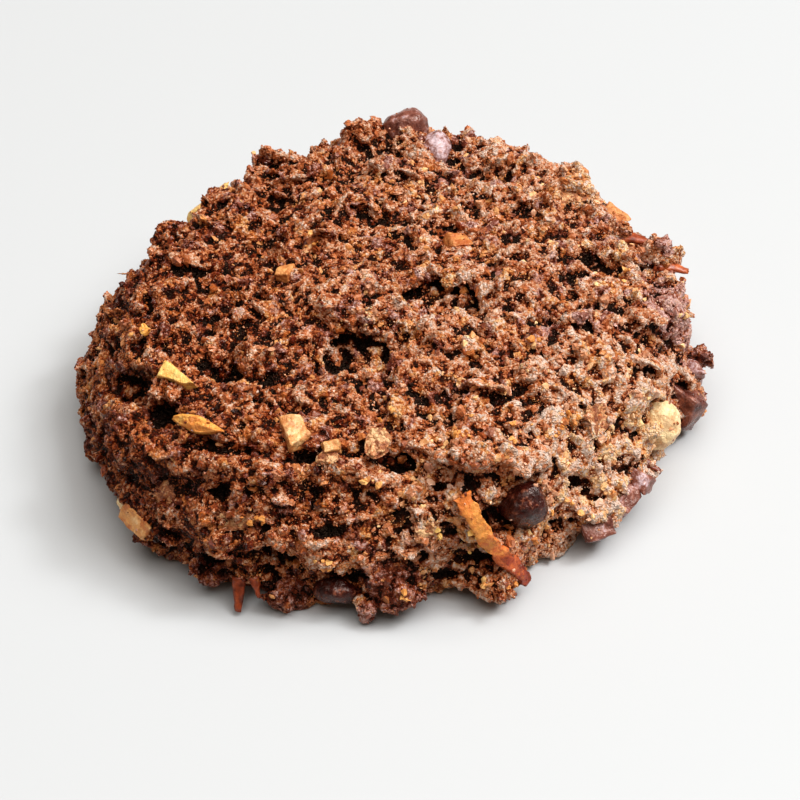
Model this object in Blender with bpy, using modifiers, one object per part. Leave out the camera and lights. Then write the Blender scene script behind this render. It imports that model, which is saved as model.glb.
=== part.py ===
"""A chocolate oatmeal cookie: a thick craggy round of dough with chocolate, nuts, oats and coconut in it.

It lies on its flat baked underside. The origin is at the middle of the underside, +Z is up, and all
lengths are in metres. The side that faces -Y is the one with the coconut strip and the whole chip.
"""

import math
import random

import bmesh
import bpy
from mathutils import Matrix, Vector, noise
from mathutils.bvhtree import BVHTree

MM = 0.001

# The round of dough
THICKNESS = 17.6 * MM
WIDEST_LEVEL = 0.2  # share of the thickness at which the side stands out furthest
TOP_INSET = 0.18  # share of the radius that the side leans in by, up to the top
FOOT_INSET = 0.08  # the same from the widest level down to the underside
SIDE_CURVE = 2.2
EDGE_ROUND = 1.3 * MM  # how far the top drops at its rounded edge
EDGE_START = 0.86  # share of the top's radius at which it starts to drop
TRIM = 1.0 * MM  # the dough runs this far below the underside until it is cut flat
# Radius at the widest level, one for each equal step of bearing, from +X towards +Y
RIM_RADII = [
    r * MM for r in (37.5, 36, 37.5, 38, 38, 36.5, 34, 33.5, 33.5, 36.5, 37.5, 38, 36.5, 34, 34, 33, 33.5, 34.5)
]

# How finely the round is divided
TOP_CUTS = 51
SIDE_CUTS = 15
VOXEL = 0.5 * MM
TRIANGLES = 10500

# Relief of the dough: a broad unevenness, rounded lumps with creases between, and a finer roughness
SWELL_SIZE = 15 * MM
SWELL_HEIGHT = 0.8 * MM
LUMP_SIZE = 4.6 * MM
LUMP_HEIGHT = 1.3 * MM
ROUGH_SIZE = 2.4 * MM
ROUGH_HEIGHT = 0.35 * MM
LUMP_STEEPNESS = 2.2  # how fast a lump rises out of the creases around it
LUMP_LEVEL = 0.65  # share of a lump's height that lies below the smooth round
FADE = 1.5  # how far out a hollow, a crease or a ridge fades away, in its own radii

# Hollows: place on the surface, radius along the surface, depth, in millimetres
HOLLOWS = [
    ((-3.1, -10.3, 18), 2.9, 3.4),
    ((6.6, -2.0, 18), 2.4, 3.0),
    ((3.8, -1.4, 18), 1.9, 2.2),
    ((23.4, 3.3, 18), 2.6, 2.6),
    ((-30.1, -13.7, 15), 1.9, 1.8),
    ((-25.5, -18.9, 17), 1.7, 1.7),
    ((-18.9, -13.0, 18), 1.9, 1.6),
    ((0.7, -28.0, 18), 1.7, 2.0),
    ((4.3, -30.8, 16.8), 2.0, 1.9),
    ((12.0, -30.6, 12.3), 1.8, 2.6),
    ((18.6, -25.7, 12.7), 1.2, 1.4),
    ((22.6, -25.1, 8.6), 1.2, 1.5),
    ((14.8, 27.5, 9.5), 2.2, 2.0),
    ((-23.5, 20.5, 16), 2.2, 2.0),
    ((10.5, 13.5, 18), 1.8, 1.7),
    ((-13.5, 17.0, 18), 2.0, 1.7),
    ((-12.4, -33.9, 5.4), 1.7, 2.2),
    ((-5.9, -34.8, 4.4), 1.5, 1.8),
    ((5.9, -35.2, 3.6), 1.9, 3.0),
    ((19.6, -30.0, 2.0), 2.4, 2.2),
    ((-22.6, -29.3, 1.6), 1.8, 1.5),
]
# Creases: start, end, half width, depth, in millimetres
CREASES = [
    ((-22.0, -25.0, 16.5), (-12.0, -27.6, 18), 1.1, 1.5),
    ((-12.0, -27.6, 18), (-3.5, -27.0, 18), 1.1, 2.1),
    ((24.9, -21.4, 12.5), (26.3, -22.8, 5.0), 1.0, 1.6),
    ((-9.0, 31.5, 15), (-15.0, 30.0, 6), 1.1, 1.4),
]
# Raised ridges of the top, in the same form
RIDGES = [
    ((-30.5, -16.5, 12), (-19.0, -27.2, 15.5), 2.6, 0.9),
    ((-19.0, -27.2, 15.5), (-5.5, -29.6, 17.5), 2.2, 1.0),
    ((5.5, -28.8, 17.8), (16.8, -26.2, 15.0), 1.6, 1.1),
    ((0.5, 1.6, 18), (11.5, 0.8, 18), 1.5, 0.9),
]

# Lumps of dough that stand out, mostly low down: place, three half sizes (across, up, out), in millimetres
DOUGH_LUMPS = [
    ((1.6, -33.6, 3.2), (4.1, 2.9, 3.0)),
    ((-2.4, -34.0, 2.2), (2.2, 1.9, 2.2)),
    ((11.4, -31.9, 3.0), (3.8, 2.9, 3.0)),
    ((-11.0, -33.4, 1.8), (2.4, 1.7, 2.3)),
    ((-19.4, -31.2, 2.4), (2.0, 1.5, 1.6)),
    ((-26.6, -26.2, 3.8), (3.0, 2.2, 2.0)),
    ((-30.8, -19.4, 5.4), (2.8, 2.4, 1.6)),
    ((24.2, -23.2, 4.6), (4.2, 3.4, 2.2)),
    ((28.2, -18.0, 4.4), (2.2, 1.7, 2.2)),
    ((33.0, 6.2, 14.4), (2.8, 2.2, 2.4)),
    ((-3.2, 29.3, 16.6), (3.2, 2.4, 2.4)),
    ((23.6, 18.4, 15.6), (3.6, 2.6, 2.6)),
    ((14.0, 27.0, 14.8), (3.2, 2.4, 2.2)),
    ((-14.5, 26.0, 15.0), (3.4, 2.4, 2.2)),
    ((-27.0, 10.5, 14.5), (2.6, 2.0, 2.0)),
    ((4.5, 33.8, 4.0), (3.8, 2.8, 2.4)),
    ((-20.0, 25.6, 3.4), (3.4, 2.6, 2.4)),
    ((26.0, 23.5, 3.2), (3.4, 2.6, 2.4)),
    ((-34.0, -1.5, 4.0), (3.2, 2.6, 2.0)),
    ((34.6, 10.0, 3.6), (3.0, 2.4, 2.2)),
]
# Chocolate: place, radius, how far its middle lies under the surface, in millimetres
CHIPS = [
    ((14.9, -29.2, 11.2), 2.9, 1.2),
    ((2.3, 31.6, 17.0), 3.1, 0.2),
    ((6.5, 26.6, 18.0), 2.3, 0.7),
    ((33.4, -0.6, 13.6), 3.2, 1.0),
    ((-6.1, -34.8, 3.6), 2.0, 0.7),
    ((19.6, 28.2, 8.4), 2.9, 1.1),
    ((-29.8, 17.0, 9.0), 2.9, 1.0),
    ((-9.6, 31.4, 6.4), 2.6, 0.9),
]
# Chunks of nut, and one of chocolate at the right rim: place, three full sizes (across, up, out), turn about the
# outward direction in degrees
CHUNKS = [
    ((29.6, -14.6, 11.4), (5.6, 6.6, 3.6), 15),
    ((35.4, -5.4, 5.0), (4.6, 7.8, 4.4), -12),
    ((-9.7, -24.4, 18.0), (2.9, 2.6, 2.4), 40),
    ((-6.5, -26.2, 18.0), (2.2, 1.9, 1.8), 10),
    ((-26.8, -26.6, 5.6), (4.4, 2.6, 2.2), -28),
    ((28.0, 21.0, 8.8), (4.6, 3.4, 3.0), 30),
    ((-31.8, 6.4, 8.2), (3.6, 2.8, 2.6), 65),
    ((-11.9, 1.5, 18.0), (2.8, 2.1, 1.8), 75),
]
# Slivers of almond: two ends, width, in millimetres
SLIVERS = [
    ((-24.7, -14.6, 18.0), (-21.0, -17.0, 18.0), 1.9),
    ((-23.6, -21.0, 17.6), (-17.0, -24.6, 18.2), 2.1),
    ((-28.6, -7.2, 18.0), (-26.6, -8.2, 18.0), 1.6),
    ((8.0, 32.6, 12.0), (13.0, 30.4, 9.6), 2.1),
    ((-24.6, 20.6, 9.6), (-20.0, 24.4, 12.4), 2.0),
]
SLIVER_THICKNESS = 1.1 * MM
# The toasted strip of coconut that runs down the front
COCONUT_ROUTE = [(7.0, -30.2, 15.5), (8.5, -31.3, 12.9), (10.3, -31.9, 10.2), (12.7, -31.9, 6.4), (14.8, -31.2, 2.4)]
COCONUT_WIDTH = 2.7 * MM
COCONUT_THICKNESS = 1.4 * MM
COCONUT_PROUD = 0.3 * MM  # how far its middle line would stand off the dough
COCONUT_CLING = 0.65  # how closely it follows the dough's unevenness, from 0 to 1
COCONUT_CUTS = 9
# Thin shards at the rim: foot, point, width at the foot, in millimetres
SHARDS = [
    ((-16.0, -32.0, 4.0), (-16.3, -34.9, 0.4), 2.6),
    ((-14.4, -32.4, 4.4), (-13.6, -34.6, 1.8), 1.8),
    ((36.2, -2.4, 6.4), (38.4, -0.6, 7.0), 2.8),
    ((32.6, 8.4, 15.4), (34.8, 8.6, 16.2), 3.2),
    ((27.4, 9.2, 16.2), (29.2, 9.8, 17.8), 3.0),
    ((29.0, -17.6, 5.8), (30.9, -18.9, 5.2), 2.0),
]
SHARD_FLATNESS = 0.55  # its thickness as a share of its width
SHARD_TIP = 0.18  # half its width at the point, as a share of its width at the foot
SHARD_ROOT = 0.35  # how much longer it is than from foot to point, inside the dough

# How uneven the toppings are, and how they lie
LUMP_ROUGHNESS = 0.7 * MM
CHIP_ROUGHNESS = 0.3 * MM
CHIP_FLATNESS = 0.9
ROUNDED_GRAIN = 0.9  # size of the unevenness of a rounded piece, as a share of its smallest half size
CHUNK_BEVEL = 0.24  # as a share of a chunk's smallest size
CHUNK_ROUGHNESS = 0.16  # as a share of its largest size
CHUNK_GRAIN = 1.6 * MM
CHUNK_SUNK = 0.2  # how far its middle lies under the dough, as a share of its size outwards
FLAT_SIDES = 9
FLAT_BEVEL = 0.14  # as a share of the width of a flake or sliver
FLAT_ROUGHNESS = 0.12
FLAT_GRAIN = 1.3 * MM
SLIVER_PROUD = 0.35 * MM

# Oat flakes all over: how many, and their full length, width and thickness
FLAKES = 34
FLAKE_SIZE = (4.6 * MM, 3.2 * MM, 1.0 * MM)
FLAKE_SPACING = 6.5 * MM
FLAKE_SCALES = (0.7, 1.1)
FLAKE_TILT = 0.5  # radians, to either side
FLAKE_CURL = 0.9 * MM
FLAKE_PROUD = 0.15 * MM
# Crumbs of dough all over
CRUMBS = 20
CRUMB_RADIUS = (1.2 * MM, 2.0 * MM)
CRUMB_SPACING = 5.5 * MM
CRUMB_ROUGHNESS = 0.4 * MM
CRUMB_FLATNESS = 0.85
CRUMB_STRETCH = (0.9, 1.4)
CRUMB_PROUD = 0.1  # how far its middle stands off the dough, as a share of its radius
# Where flakes and crumbs are laid: the share that lies on the top, how far out it reaches there, how steeply the
# others look up, and the levels they aim at as shares of the thickness
TOP_SHARE = 0.55
TOP_REACH = 0.8
SIDE_RISE = 0.6
AIM_LEVELS = (0.25, 0.75)
FREE_OF_HOLLOW = 2.0  # millimetres that they keep off the edge of a hollow
SEED = 4


def millimetres(*values):
    """The same values in metres, as a vector."""
    return Vector(values) * MM


def rim_radius(bearing):
    """Radius of the outline at a bearing, on a smooth closed curve through RIM_RADII."""
    step = math.tau / len(RIM_RADII)
    place = (bearing % math.tau) / step
    first = int(place)
    t = place - first
    before, start, end, after = (RIM_RADII[(first + k) % len(RIM_RADII)] for k in (-1, 0, 1, 2))
    bend = 2 * before - 5 * start + 4 * end - after
    turn = 3 * start - before - 3 * end + after
    return start + 0.5 * t * (end - before + t * (bend + t * turn))


def side_share(level):
    """Share of the rim's radius that the side has at a level, 0 at the underside and 1 at the top."""
    if level > WIDEST_LEVEL:
        return 1 - TOP_INSET * ((level - WIDEST_LEVEL) / (1 - WIDEST_LEVEL)) ** SIDE_CURVE
    return 1 - FOOT_INSET * ((WIDEST_LEVEL - max(level, 0)) / WIDEST_LEVEL) ** 2


def square_to_round(x, y):
    """Bearing and share of the radius for a point of a square from -1 to 1, ring by ring."""
    reach = max(abs(x), abs(y))
    if reach < 1e-9:
        return 0.0, 0.0
    if abs(x) >= abs(y):
        return math.pi / 4 * y / x + (0 if x > 0 else math.pi), reach
    return math.pi / 2 - math.pi / 4 * x / y + (0 if y > 0 else math.pi), reach


def smooth_point(cube_point):
    """Where a point of a cube from -1 to 1 lies on the smooth round."""
    bearing, reach = square_to_round(cube_point.x, cube_point.y)
    level = (cube_point.z + 1) / 2
    radius = rim_radius(bearing) * side_share(level) * reach
    top = THICKNESS - EDGE_ROUND * max(0, (reach - EDGE_START) / (1 - EDGE_START)) ** 2
    height = level * (top + TRIM) - TRIM
    return Vector((radius * math.cos(bearing), radius * math.sin(bearing), height))


def distance_to_segment(point, start, end):
    """Distance from a point to a straight segment."""
    run = end - start
    share = max(0.0, min(1.0, (point - start).dot(run) / run.length_squared))
    return (point - start - run * share).length


def bell(distance, reach):
    """1 at no distance, falling smoothly to 0 at a reach and beyond."""
    share = min(1.0, distance / reach)
    return (1 - share * share) ** 2


def relief(point):
    """How far the surface stands out from the smooth round at a point of it."""
    near = noise.voronoi(point / LUMP_SIZE)[0]
    out = LUMP_HEIGHT * (min(1.0, LUMP_STEEPNESS * (near[1] - near[0])) - LUMP_LEVEL)
    out += SWELL_HEIGHT * noise.noise(point / SWELL_SIZE)
    out += ROUGH_HEIGHT * noise.noise(point / ROUGH_SIZE)
    for start, end, width, height in RIDGES:
        gap = distance_to_segment(point, millimetres(*start), millimetres(*end))
        out += height * MM * bell(gap, FADE * width * MM)
    for start, end, width, depth in CREASES:
        gap = distance_to_segment(point, millimetres(*start), millimetres(*end))
        out -= depth * MM * bell(gap, FADE * width * MM)
    for place, radius, depth in HOLLOWS:
        out -= depth * MM * bell((point - millimetres(*place)).length, FADE * radius * MM)
    return out


def link_mesh(name, bm, collection):
    """A new object of the bmesh, linked to a collection."""
    mesh = bpy.data.meshes.new(name)
    bm.to_mesh(mesh)
    bm.free()
    piece = bpy.data.objects.new(name, mesh)
    collection.objects.link(piece)
    return piece


def round_of_dough(collection):
    """The round with its relief: a cube cut into a grid, moved onto the round and then out or in."""
    bm = bmesh.new()
    bmesh.ops.create_cube(bm, size=2)
    upright = [e for e in bm.edges if abs(e.verts[0].co.z - e.verts[1].co.z) > 1]
    bmesh.ops.subdivide_edges(bm, edges=upright, cuts=SIDE_CUTS, use_grid_fill=True)
    level = [e for e in bm.edges if abs(e.verts[0].co.z - e.verts[1].co.z) < 0.01]
    bmesh.ops.subdivide_edges(bm, edges=level, cuts=TOP_CUTS, use_grid_fill=True)
    underside = [f for f in bm.faces if f.calc_center_median().z < -0.999]
    bmesh.ops.dissolve_faces(bm, faces=underside, use_verts=True)
    for vert in bm.verts:
        vert.co = smooth_point(vert.co)
    bm.normal_update()
    moves = [vert.normal * relief(vert.co) for vert in bm.verts]
    for vert, move in zip(bm.verts, moves):
        if vert.co.z < 0:
            move.z = 0
        vert.co += move
    return link_mesh("cookie", bm, collection)


def surface_at(tree, point):
    """The nearest point of the dough and the way out there."""
    near, out, _, _ = tree.find_nearest(point)
    return near, out


def smooth_out(tree, point, reach=2.5 * MM):
    """The way out of the dough near a point, as the mean over its surroundings."""
    total = Vector()
    for _, out, _, _ in tree.find_nearest_range(point, reach):
        total += out
    return total.normalized() if total.length > 0 else surface_at(tree, point)[1]


def facing(out, turn=0.0):
    """A rotation whose Z is the way out and whose Y points up the surface, turned about the way out."""
    across = Vector((0, 0, 1)).cross(out)
    if across.length < 0.2:
        across = Vector((1, 0, 0))
    across = (across - out * across.dot(out)).normalized()
    up = out.cross(across)
    axes = Matrix((across, up, out)).transposed().to_4x4()
    return axes @ Matrix.Rotation(turn, 4, "Z")


def roughen(bm, size, height, offset):
    """Moves each point of a small piece in or out from its middle, by a noise of a size and a height."""
    middle = sum((v.co for v in bm.verts), Vector()) / len(bm.verts)
    for vert in bm.verts:
        way = (vert.co - middle).normalized()
        vert.co += way * height * noise.noise(vert.co / size + Vector((offset, 0, 0)))


def rounded_piece(name, half_sizes, matrix, rough, offset, collection, detail=2):
    """An uneven egg-like piece, such as a lump of dough or a chip."""
    bm = bmesh.new()
    bmesh.ops.create_icosphere(bm, subdivisions=detail, radius=1, matrix=Matrix.Diagonal((*half_sizes, 1)))
    roughen(bm, ROUNDED_GRAIN * min(half_sizes), rough, offset)
    bmesh.ops.transform(bm, matrix=matrix, verts=bm.verts)
    return link_mesh(name, bm, collection)


def chunk_piece(name, sizes, matrix, offset, collection):
    """A broken chunk of nut or chocolate: a block with bevelled edges and uneven corners."""
    bm = bmesh.new()
    bmesh.ops.create_cube(bm, size=1, matrix=Matrix.Diagonal((*sizes, 1)))
    bmesh.ops.bevel(
        bm, geom=bm.edges[:], offset=CHUNK_BEVEL * min(sizes), affect="EDGES", segments=1, profile=0.5, material=-1
    )
    roughen(bm, CHUNK_GRAIN, CHUNK_ROUGHNESS * max(sizes), offset)
    bmesh.ops.transform(bm, matrix=matrix, verts=bm.verts)
    return link_mesh(name, bm, collection)


def flat_piece(name, length, width, thickness, matrix, offset, collection, curl=0.0):
    """A flake or a sliver: a flat drum with a chamfered edge, curled about its width."""
    bm = bmesh.new()
    bmesh.ops.create_cone(bm, cap_ends=True, segments=FLAT_SIDES, radius1=0.5, radius2=0.5, depth=1)
    rims = [e for e in bm.edges if abs(e.verts[0].co.z - e.verts[1].co.z) < 0.01]
    bmesh.ops.bevel(bm, geom=rims, offset=FLAT_BEVEL, affect="EDGES", segments=1, profile=0.5, material=-1)
    bmesh.ops.transform(bm, matrix=Matrix.Diagonal((length, width, thickness, 1)), verts=bm.verts)
    roughen(bm, FLAT_GRAIN, FLAT_ROUGHNESS * width, offset)
    for vert in bm.verts:
        vert.co.z += curl * (vert.co.x / length) ** 2
    bmesh.ops.transform(bm, matrix=matrix, verts=bm.verts)
    return link_mesh(name, bm, collection)


def shard_piece(name, foot, point, width, collection):
    """A thin pointed shard, from inside the dough out to its point."""
    bm = bmesh.new()
    run = point - foot
    bmesh.ops.create_cone(bm, cap_ends=True, segments=6, radius1=width / 2, radius2=SHARD_TIP * width, depth=1)
    length = (1 + SHARD_ROOT) * run.length
    bmesh.ops.transform(bm, matrix=Matrix.Diagonal((1, SHARD_FLATNESS, length, 1)), verts=bm.verts)
    turned = run.to_track_quat("Z", "Y").to_matrix().to_4x4()
    middle = foot + run * 0.34
    bmesh.ops.transform(bm, matrix=Matrix.Translation(middle) @ turned, verts=bm.verts)
    return link_mesh(name, bm, collection)


def coconut_strip(tree, collection):
    """The strip of coconut: a bar cut into short lengths, laid along its route just proud of the dough."""
    bm = bmesh.new()
    bmesh.ops.create_cube(bm, size=1)
    along = [e for e in bm.edges if abs(e.verts[0].co.x - e.verts[1].co.x) > 0.5]
    bmesh.ops.subdivide_edges(bm, edges=along, cuts=COCONUT_CUTS, use_grid_fill=True)
    stops = [millimetres(*stop) for stop in COCONUT_ROUTE]
    for vert in bm.verts:
        place = (vert.co.x + 0.5) * (len(stops) - 1)
        first = min(int(place), len(stops) - 2)
        on_route = stops[first].lerp(stops[first + 1], place - first)
        near, _ = surface_at(tree, on_route)
        out = smooth_out(tree, near)
        middle = on_route.lerp(near + out * COCONUT_PROUD, COCONUT_CLING)
        heading = (stops[first + 1] - stops[first]).normalized()
        side = out.cross(heading).normalized()
        width = COCONUT_WIDTH * (1 - 0.35 * abs(2 * vert.co.x) ** 6)
        vert.co = middle + side * vert.co.y * width + out * vert.co.z * COCONUT_THICKNESS
    return link_mesh("coconut", bm, collection)


def spread_places(tree, count, spacing, rng):
    """Places all over the dough, no two closer than a spacing, each with the way out there."""
    places = []
    while len(places) < count:
        bearing = rng.uniform(0, math.tau)
        aim = Vector((0, 0, rng.uniform(*AIM_LEVELS) * THICKNESS))
        if rng.random() < TOP_SHARE:
            share = math.sqrt(rng.random()) * TOP_REACH
            aim += Vector((math.cos(bearing), math.sin(bearing), 0)) * rim_radius(bearing) * share
            way = Vector((0, 0, -1))
        else:
            way = -Vector((math.cos(bearing), math.sin(bearing), rng.uniform(0.0, SIDE_RISE)))
        way.normalize()
        hit, _, _, _ = tree.ray_cast(aim - way * 0.1, way)
        if hit is None or any((hit - other).length < spacing for other, _ in places):
            continue
        if all((hit - millimetres(*p)).length > (radius + FREE_OF_HOLLOW) * MM for p, radius, _ in HOLLOWS):
            places.append((hit, smooth_out(tree, hit)))
    return places


def add_toppings(tree, collection):
    """Every lump, chip, chunk, sliver, shard, flake and crumb, each as its own object in the collection."""
    rng = random.Random(SEED)
    for count, (place, sizes) in enumerate(DOUGH_LUMPS):
        point = millimetres(*place)
        matrix = Matrix.Translation(point) @ facing(smooth_out(tree, surface_at(tree, point)[0]))
        rounded_piece(f"lump_{count}", [s * MM for s in sizes], matrix, LUMP_ROUGHNESS, count, collection)
    for count, (place, radius, sunk) in enumerate(CHIPS):
        near, _ = surface_at(tree, millimetres(*place))
        out = smooth_out(tree, near)
        matrix = Matrix.Translation(near - out * sunk * MM) @ facing(out)
        sizes = [radius * MM, radius * MM, CHIP_FLATNESS * radius * MM]
        rounded_piece(f"chip_{count}", sizes, matrix, CHIP_ROUGHNESS, 20 + count, collection)
    for count, (place, sizes, turn) in enumerate(CHUNKS):
        near, _ = surface_at(tree, millimetres(*place))
        out = smooth_out(tree, near)
        matrix = Matrix.Translation(near - out * CHUNK_SUNK * sizes[2] * MM) @ facing(out, math.radians(turn))
        chunk_piece(f"chunk_{count}", [s * MM for s in sizes], matrix, 40 + count, collection)
    for count, (start, end, width) in enumerate(SLIVERS):
        first = surface_at(tree, millimetres(*start))[0]
        last = surface_at(tree, millimetres(*end))[0]
        middle = (first + last) / 2
        out = smooth_out(tree, middle)
        heading = (last - first).normalized()
        side = out.cross(heading).normalized()
        turned = Matrix((heading, side, heading.cross(side))).transposed().to_4x4()
        matrix = Matrix.Translation(middle + out * SLIVER_PROUD) @ turned
        length = (last - first).length
        flat_piece(f"sliver_{count}", length, width * MM, SLIVER_THICKNESS, matrix, 60 + count, collection)
    for count, (foot, point, width) in enumerate(SHARDS):
        shard_piece(f"shard_{count}", millimetres(*foot), millimetres(*point), width * MM, collection)
    coconut_strip(tree, collection)
    length, width, thickness = FLAKE_SIZE
    for count, (place, out) in enumerate(spread_places(tree, FLAKES, FLAKE_SPACING, rng)):
        scale = rng.uniform(*FLAKE_SCALES)
        tilt = Matrix.Rotation(rng.uniform(-FLAKE_TILT, FLAKE_TILT), 4, "X")
        turned = facing(out, rng.uniform(0, math.tau)) @ tilt
        matrix = Matrix.Translation(place + out * FLAKE_PROUD) @ turned
        sizes = (length * scale, width * scale, thickness)
        flat_piece(f"flake_{count}", *sizes, matrix, 80 + count, collection, curl=FLAKE_CURL)
    for count, (place, out) in enumerate(spread_places(tree, CRUMBS, CRUMB_SPACING, rng)):
        size = rng.uniform(*CRUMB_RADIUS)
        sizes = (size * rng.uniform(*CRUMB_STRETCH), size, size * CRUMB_FLATNESS)
        matrix = Matrix.Translation(place + out * CRUMB_PROUD * size) @ facing(out, rng.uniform(0, math.tau))
        rounded_piece(f"crumb_{count}", sizes, matrix, CRUMB_ROUGHNESS, 130 + count, collection, detail=1)


def apply_modifier(piece, kind, **settings):
    """Gives the piece the mesh that a modifier makes of it."""
    modifier = piece.modifiers.new(kind.lower(), kind)
    for name, value in settings.items():
        setattr(modifier, name, value)
    graph = bpy.context.evaluated_depsgraph_get()
    mesh = bpy.data.meshes.new_from_object(piece.evaluated_get(graph))
    piece.modifiers.clear()
    piece.data = mesh


def join_toppings(cookie, collection):
    """Joins every topping to the dough in one solid, and removes the toppings' own objects."""
    apply_modifier(
        cookie, "BOOLEAN", operation="UNION", operand_type="COLLECTION", collection=collection, solver="MANIFOLD"
    )
    for piece in list(collection.objects):
        bpy.data.objects.remove(piece)
    bpy.data.collections.remove(collection)


def even_out(cookie):
    """Bakes the toppings into the dough, closes thin gaps, and leaves few triangles where it is smooth."""
    apply_modifier(cookie, "REMESH", mode="VOXEL", voxel_size=VOXEL)
    triangles = 2 * len(cookie.data.polygons)
    apply_modifier(cookie, "DECIMATE", ratio=TRIANGLES / triangles, use_collapse_triangulate=True)


def keep_largest_shell(bm):
    """Drops loose scraps, and fills sealed hollows by dropping their walls."""
    unseen = set(bm.verts)
    shells = []
    while unseen:
        shell = set()
        waiting = [unseen.pop()]
        while waiting:
            vert = waiting.pop()
            shell.add(vert)
            for edge in vert.link_edges:
                other = edge.other_vert(vert)
                if other in unseen:
                    unseen.remove(other)
                    waiting.append(other)
        shells.append(shell)
    shells.sort(key=len)
    for shell in shells[:-1]:
        bmesh.ops.delete(bm, geom=list(shell), context="VERTS")


def cut_underside(cookie):
    """Cuts the solid flat at the underside and closes it there."""
    bm = bmesh.new()
    bm.from_mesh(cookie.data)
    keep_largest_shell(bm)
    everything = bm.verts[:] + bm.edges[:] + bm.faces[:]
    bmesh.ops.bisect_plane(bm, geom=everything, dist=1e-7, plane_co=(0, 0, 0), plane_no=(0, 0, 1), clear_inner=True)
    rim = [e for e in bm.edges if e.is_boundary]
    bmesh.ops.edgenet_fill(bm, edges=rim)
    bmesh.ops.triangulate(bm, faces=bm.faces[:])
    bmesh.ops.recalc_face_normals(bm, faces=bm.faces[:])
    bm.to_mesh(cookie.data)
    bm.free()


def baked_dough():
    """The dark brown of the baked cocoa dough."""
    material = bpy.data.materials.new("baked_dough")
    material.use_nodes = True
    shader = material.node_tree.nodes["Principled BSDF"]
    shader.inputs["Base Color"].default_value = (0.24, 0.095, 0.045, 1)
    shader.inputs["Roughness"].default_value = 0.7
    shader.inputs["Metallic"].default_value = 0.0
    return material


def build():
    """The whole cookie."""
    for old in list(bpy.data.objects):
        bpy.data.objects.remove(old)
    parts = bpy.data.collections.new("oatmeal_cookie")
    toppings = bpy.data.collections.new("toppings")
    bpy.context.scene.collection.children.link(parts)
    bpy.context.scene.collection.children.link(toppings)
    cookie = round_of_dough(parts)
    bm = bmesh.new()
    bm.from_mesh(cookie.data)
    tree = BVHTree.FromBMesh(bm)
    bm.free()
    add_toppings(tree, toppings)
    join_toppings(cookie, toppings)
    even_out(cookie)
    cut_underside(cookie)
    cookie.data.materials.clear()
    cookie.data.materials.append(baked_dough())
    cookie.data.polygons.foreach_set("material_index", [0] * len(cookie.data.polygons))
    return cookie


cookie = build()
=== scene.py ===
"""The looks of a chocolate oatmeal cookie: dark crumbly dough with chocolate, nuts, oats and coconut in it.

Lengths are in metres. The solid cookie is the frame: the dough is its form with the crumb added, and every
other piece lies where the solid has it.
"""

import math
import random

import bmesh
import bpy
import numpy as np
from mathutils import Matrix, Vector, noise
from mathutils.bvhtree import BVHTree
from mathutils.kdtree import KDTree


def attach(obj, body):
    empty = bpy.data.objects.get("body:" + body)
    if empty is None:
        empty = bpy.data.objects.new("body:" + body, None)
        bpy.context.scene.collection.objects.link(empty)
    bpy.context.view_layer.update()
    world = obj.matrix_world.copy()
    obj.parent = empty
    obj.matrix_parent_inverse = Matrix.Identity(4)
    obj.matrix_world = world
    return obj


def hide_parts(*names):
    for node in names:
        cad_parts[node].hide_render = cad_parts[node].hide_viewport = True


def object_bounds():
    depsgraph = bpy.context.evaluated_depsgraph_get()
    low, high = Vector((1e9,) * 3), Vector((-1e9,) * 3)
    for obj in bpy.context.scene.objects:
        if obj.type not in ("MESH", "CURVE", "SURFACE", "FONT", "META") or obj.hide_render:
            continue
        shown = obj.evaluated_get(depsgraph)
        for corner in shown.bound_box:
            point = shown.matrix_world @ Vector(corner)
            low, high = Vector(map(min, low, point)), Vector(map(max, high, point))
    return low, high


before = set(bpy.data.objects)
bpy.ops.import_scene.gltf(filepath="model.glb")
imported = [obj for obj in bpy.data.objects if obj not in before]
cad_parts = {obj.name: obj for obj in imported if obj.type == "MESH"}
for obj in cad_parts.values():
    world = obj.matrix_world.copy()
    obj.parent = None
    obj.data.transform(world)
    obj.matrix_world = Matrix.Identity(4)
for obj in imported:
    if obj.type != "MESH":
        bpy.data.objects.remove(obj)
solid_low, solid_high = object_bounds()

MM = 0.001
NOISE_SEED = 5  # which uneven forms the flakes, shards and crumbs get
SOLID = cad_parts["cookie"]
MIDDLE = Vector((0, 0, 9 * MM))

# The camera stands where the photograph was taken from
CAMERA_DISTANCE = 216 * MM
CAMERA_ELEVATION = math.radians(43)
PHOTO_SIZE = 800
PHOTO_FOCUS = 1830  # focal length in pixels of the photograph
PHOTO_MIDDLE = (388, 336)  # pixel of the photograph where the middle of the cookie is
SENSOR = 36
EXPOSURE = -0.25

# The dough is its solid, shrunk a little and covered with clods that the voxels melt into it
CORE_VOXEL = 0.5 * MM
DOUGH_VOXEL = 0.25 * MM
DOUGH_TRIANGLES = 197000
DOUGH_INSET = 0.65 * MM
SWELLS = [(6.0 * MM, 1.1 * MM), (2.4 * MM, 0.5 * MM)]
# Kinds of clod: how many are tried, smallest and largest size in millimetres, how rare the large ones are,
# how close two may lie as a share of their mean size, how far the middle lies above the surface as a share
# of the size, and how much the lie varies
CLODS = {
    "lump": (16000, (0.8, 2.9), 6.0, 0.8, -0.12, 3.0),
    "flake": (2600, (1.2, 4.2), 2.6, 0.5, 0.0, 0.6),
    "fibre": (1000, (1.6, 4.6), 2.6, 0.3, 0.02, 0.4),
}
CLOD_FOOT = 0.9 * MM  # no clod lies lower than this
SMALLEST_CLOD = 0.5  # a clod that has less room than this share of the smallest size is left out
FLAKE_KINDS = 0.6  # the flakes are dough or oat, and none is chocolate
WALL = 0.5  # a way out whose rise is less than this belongs to the side
WALL_SINK = 0.1  # how much deeper the clods lie in the side, as a share of their size
PIT_CLOD = 0.5  # the largest clod in a pit, as a share of the pit's radius
PIT_RIM = 0.7  # how far a clod beside a pit keeps from the pit's middle, in radii of the pit
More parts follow.
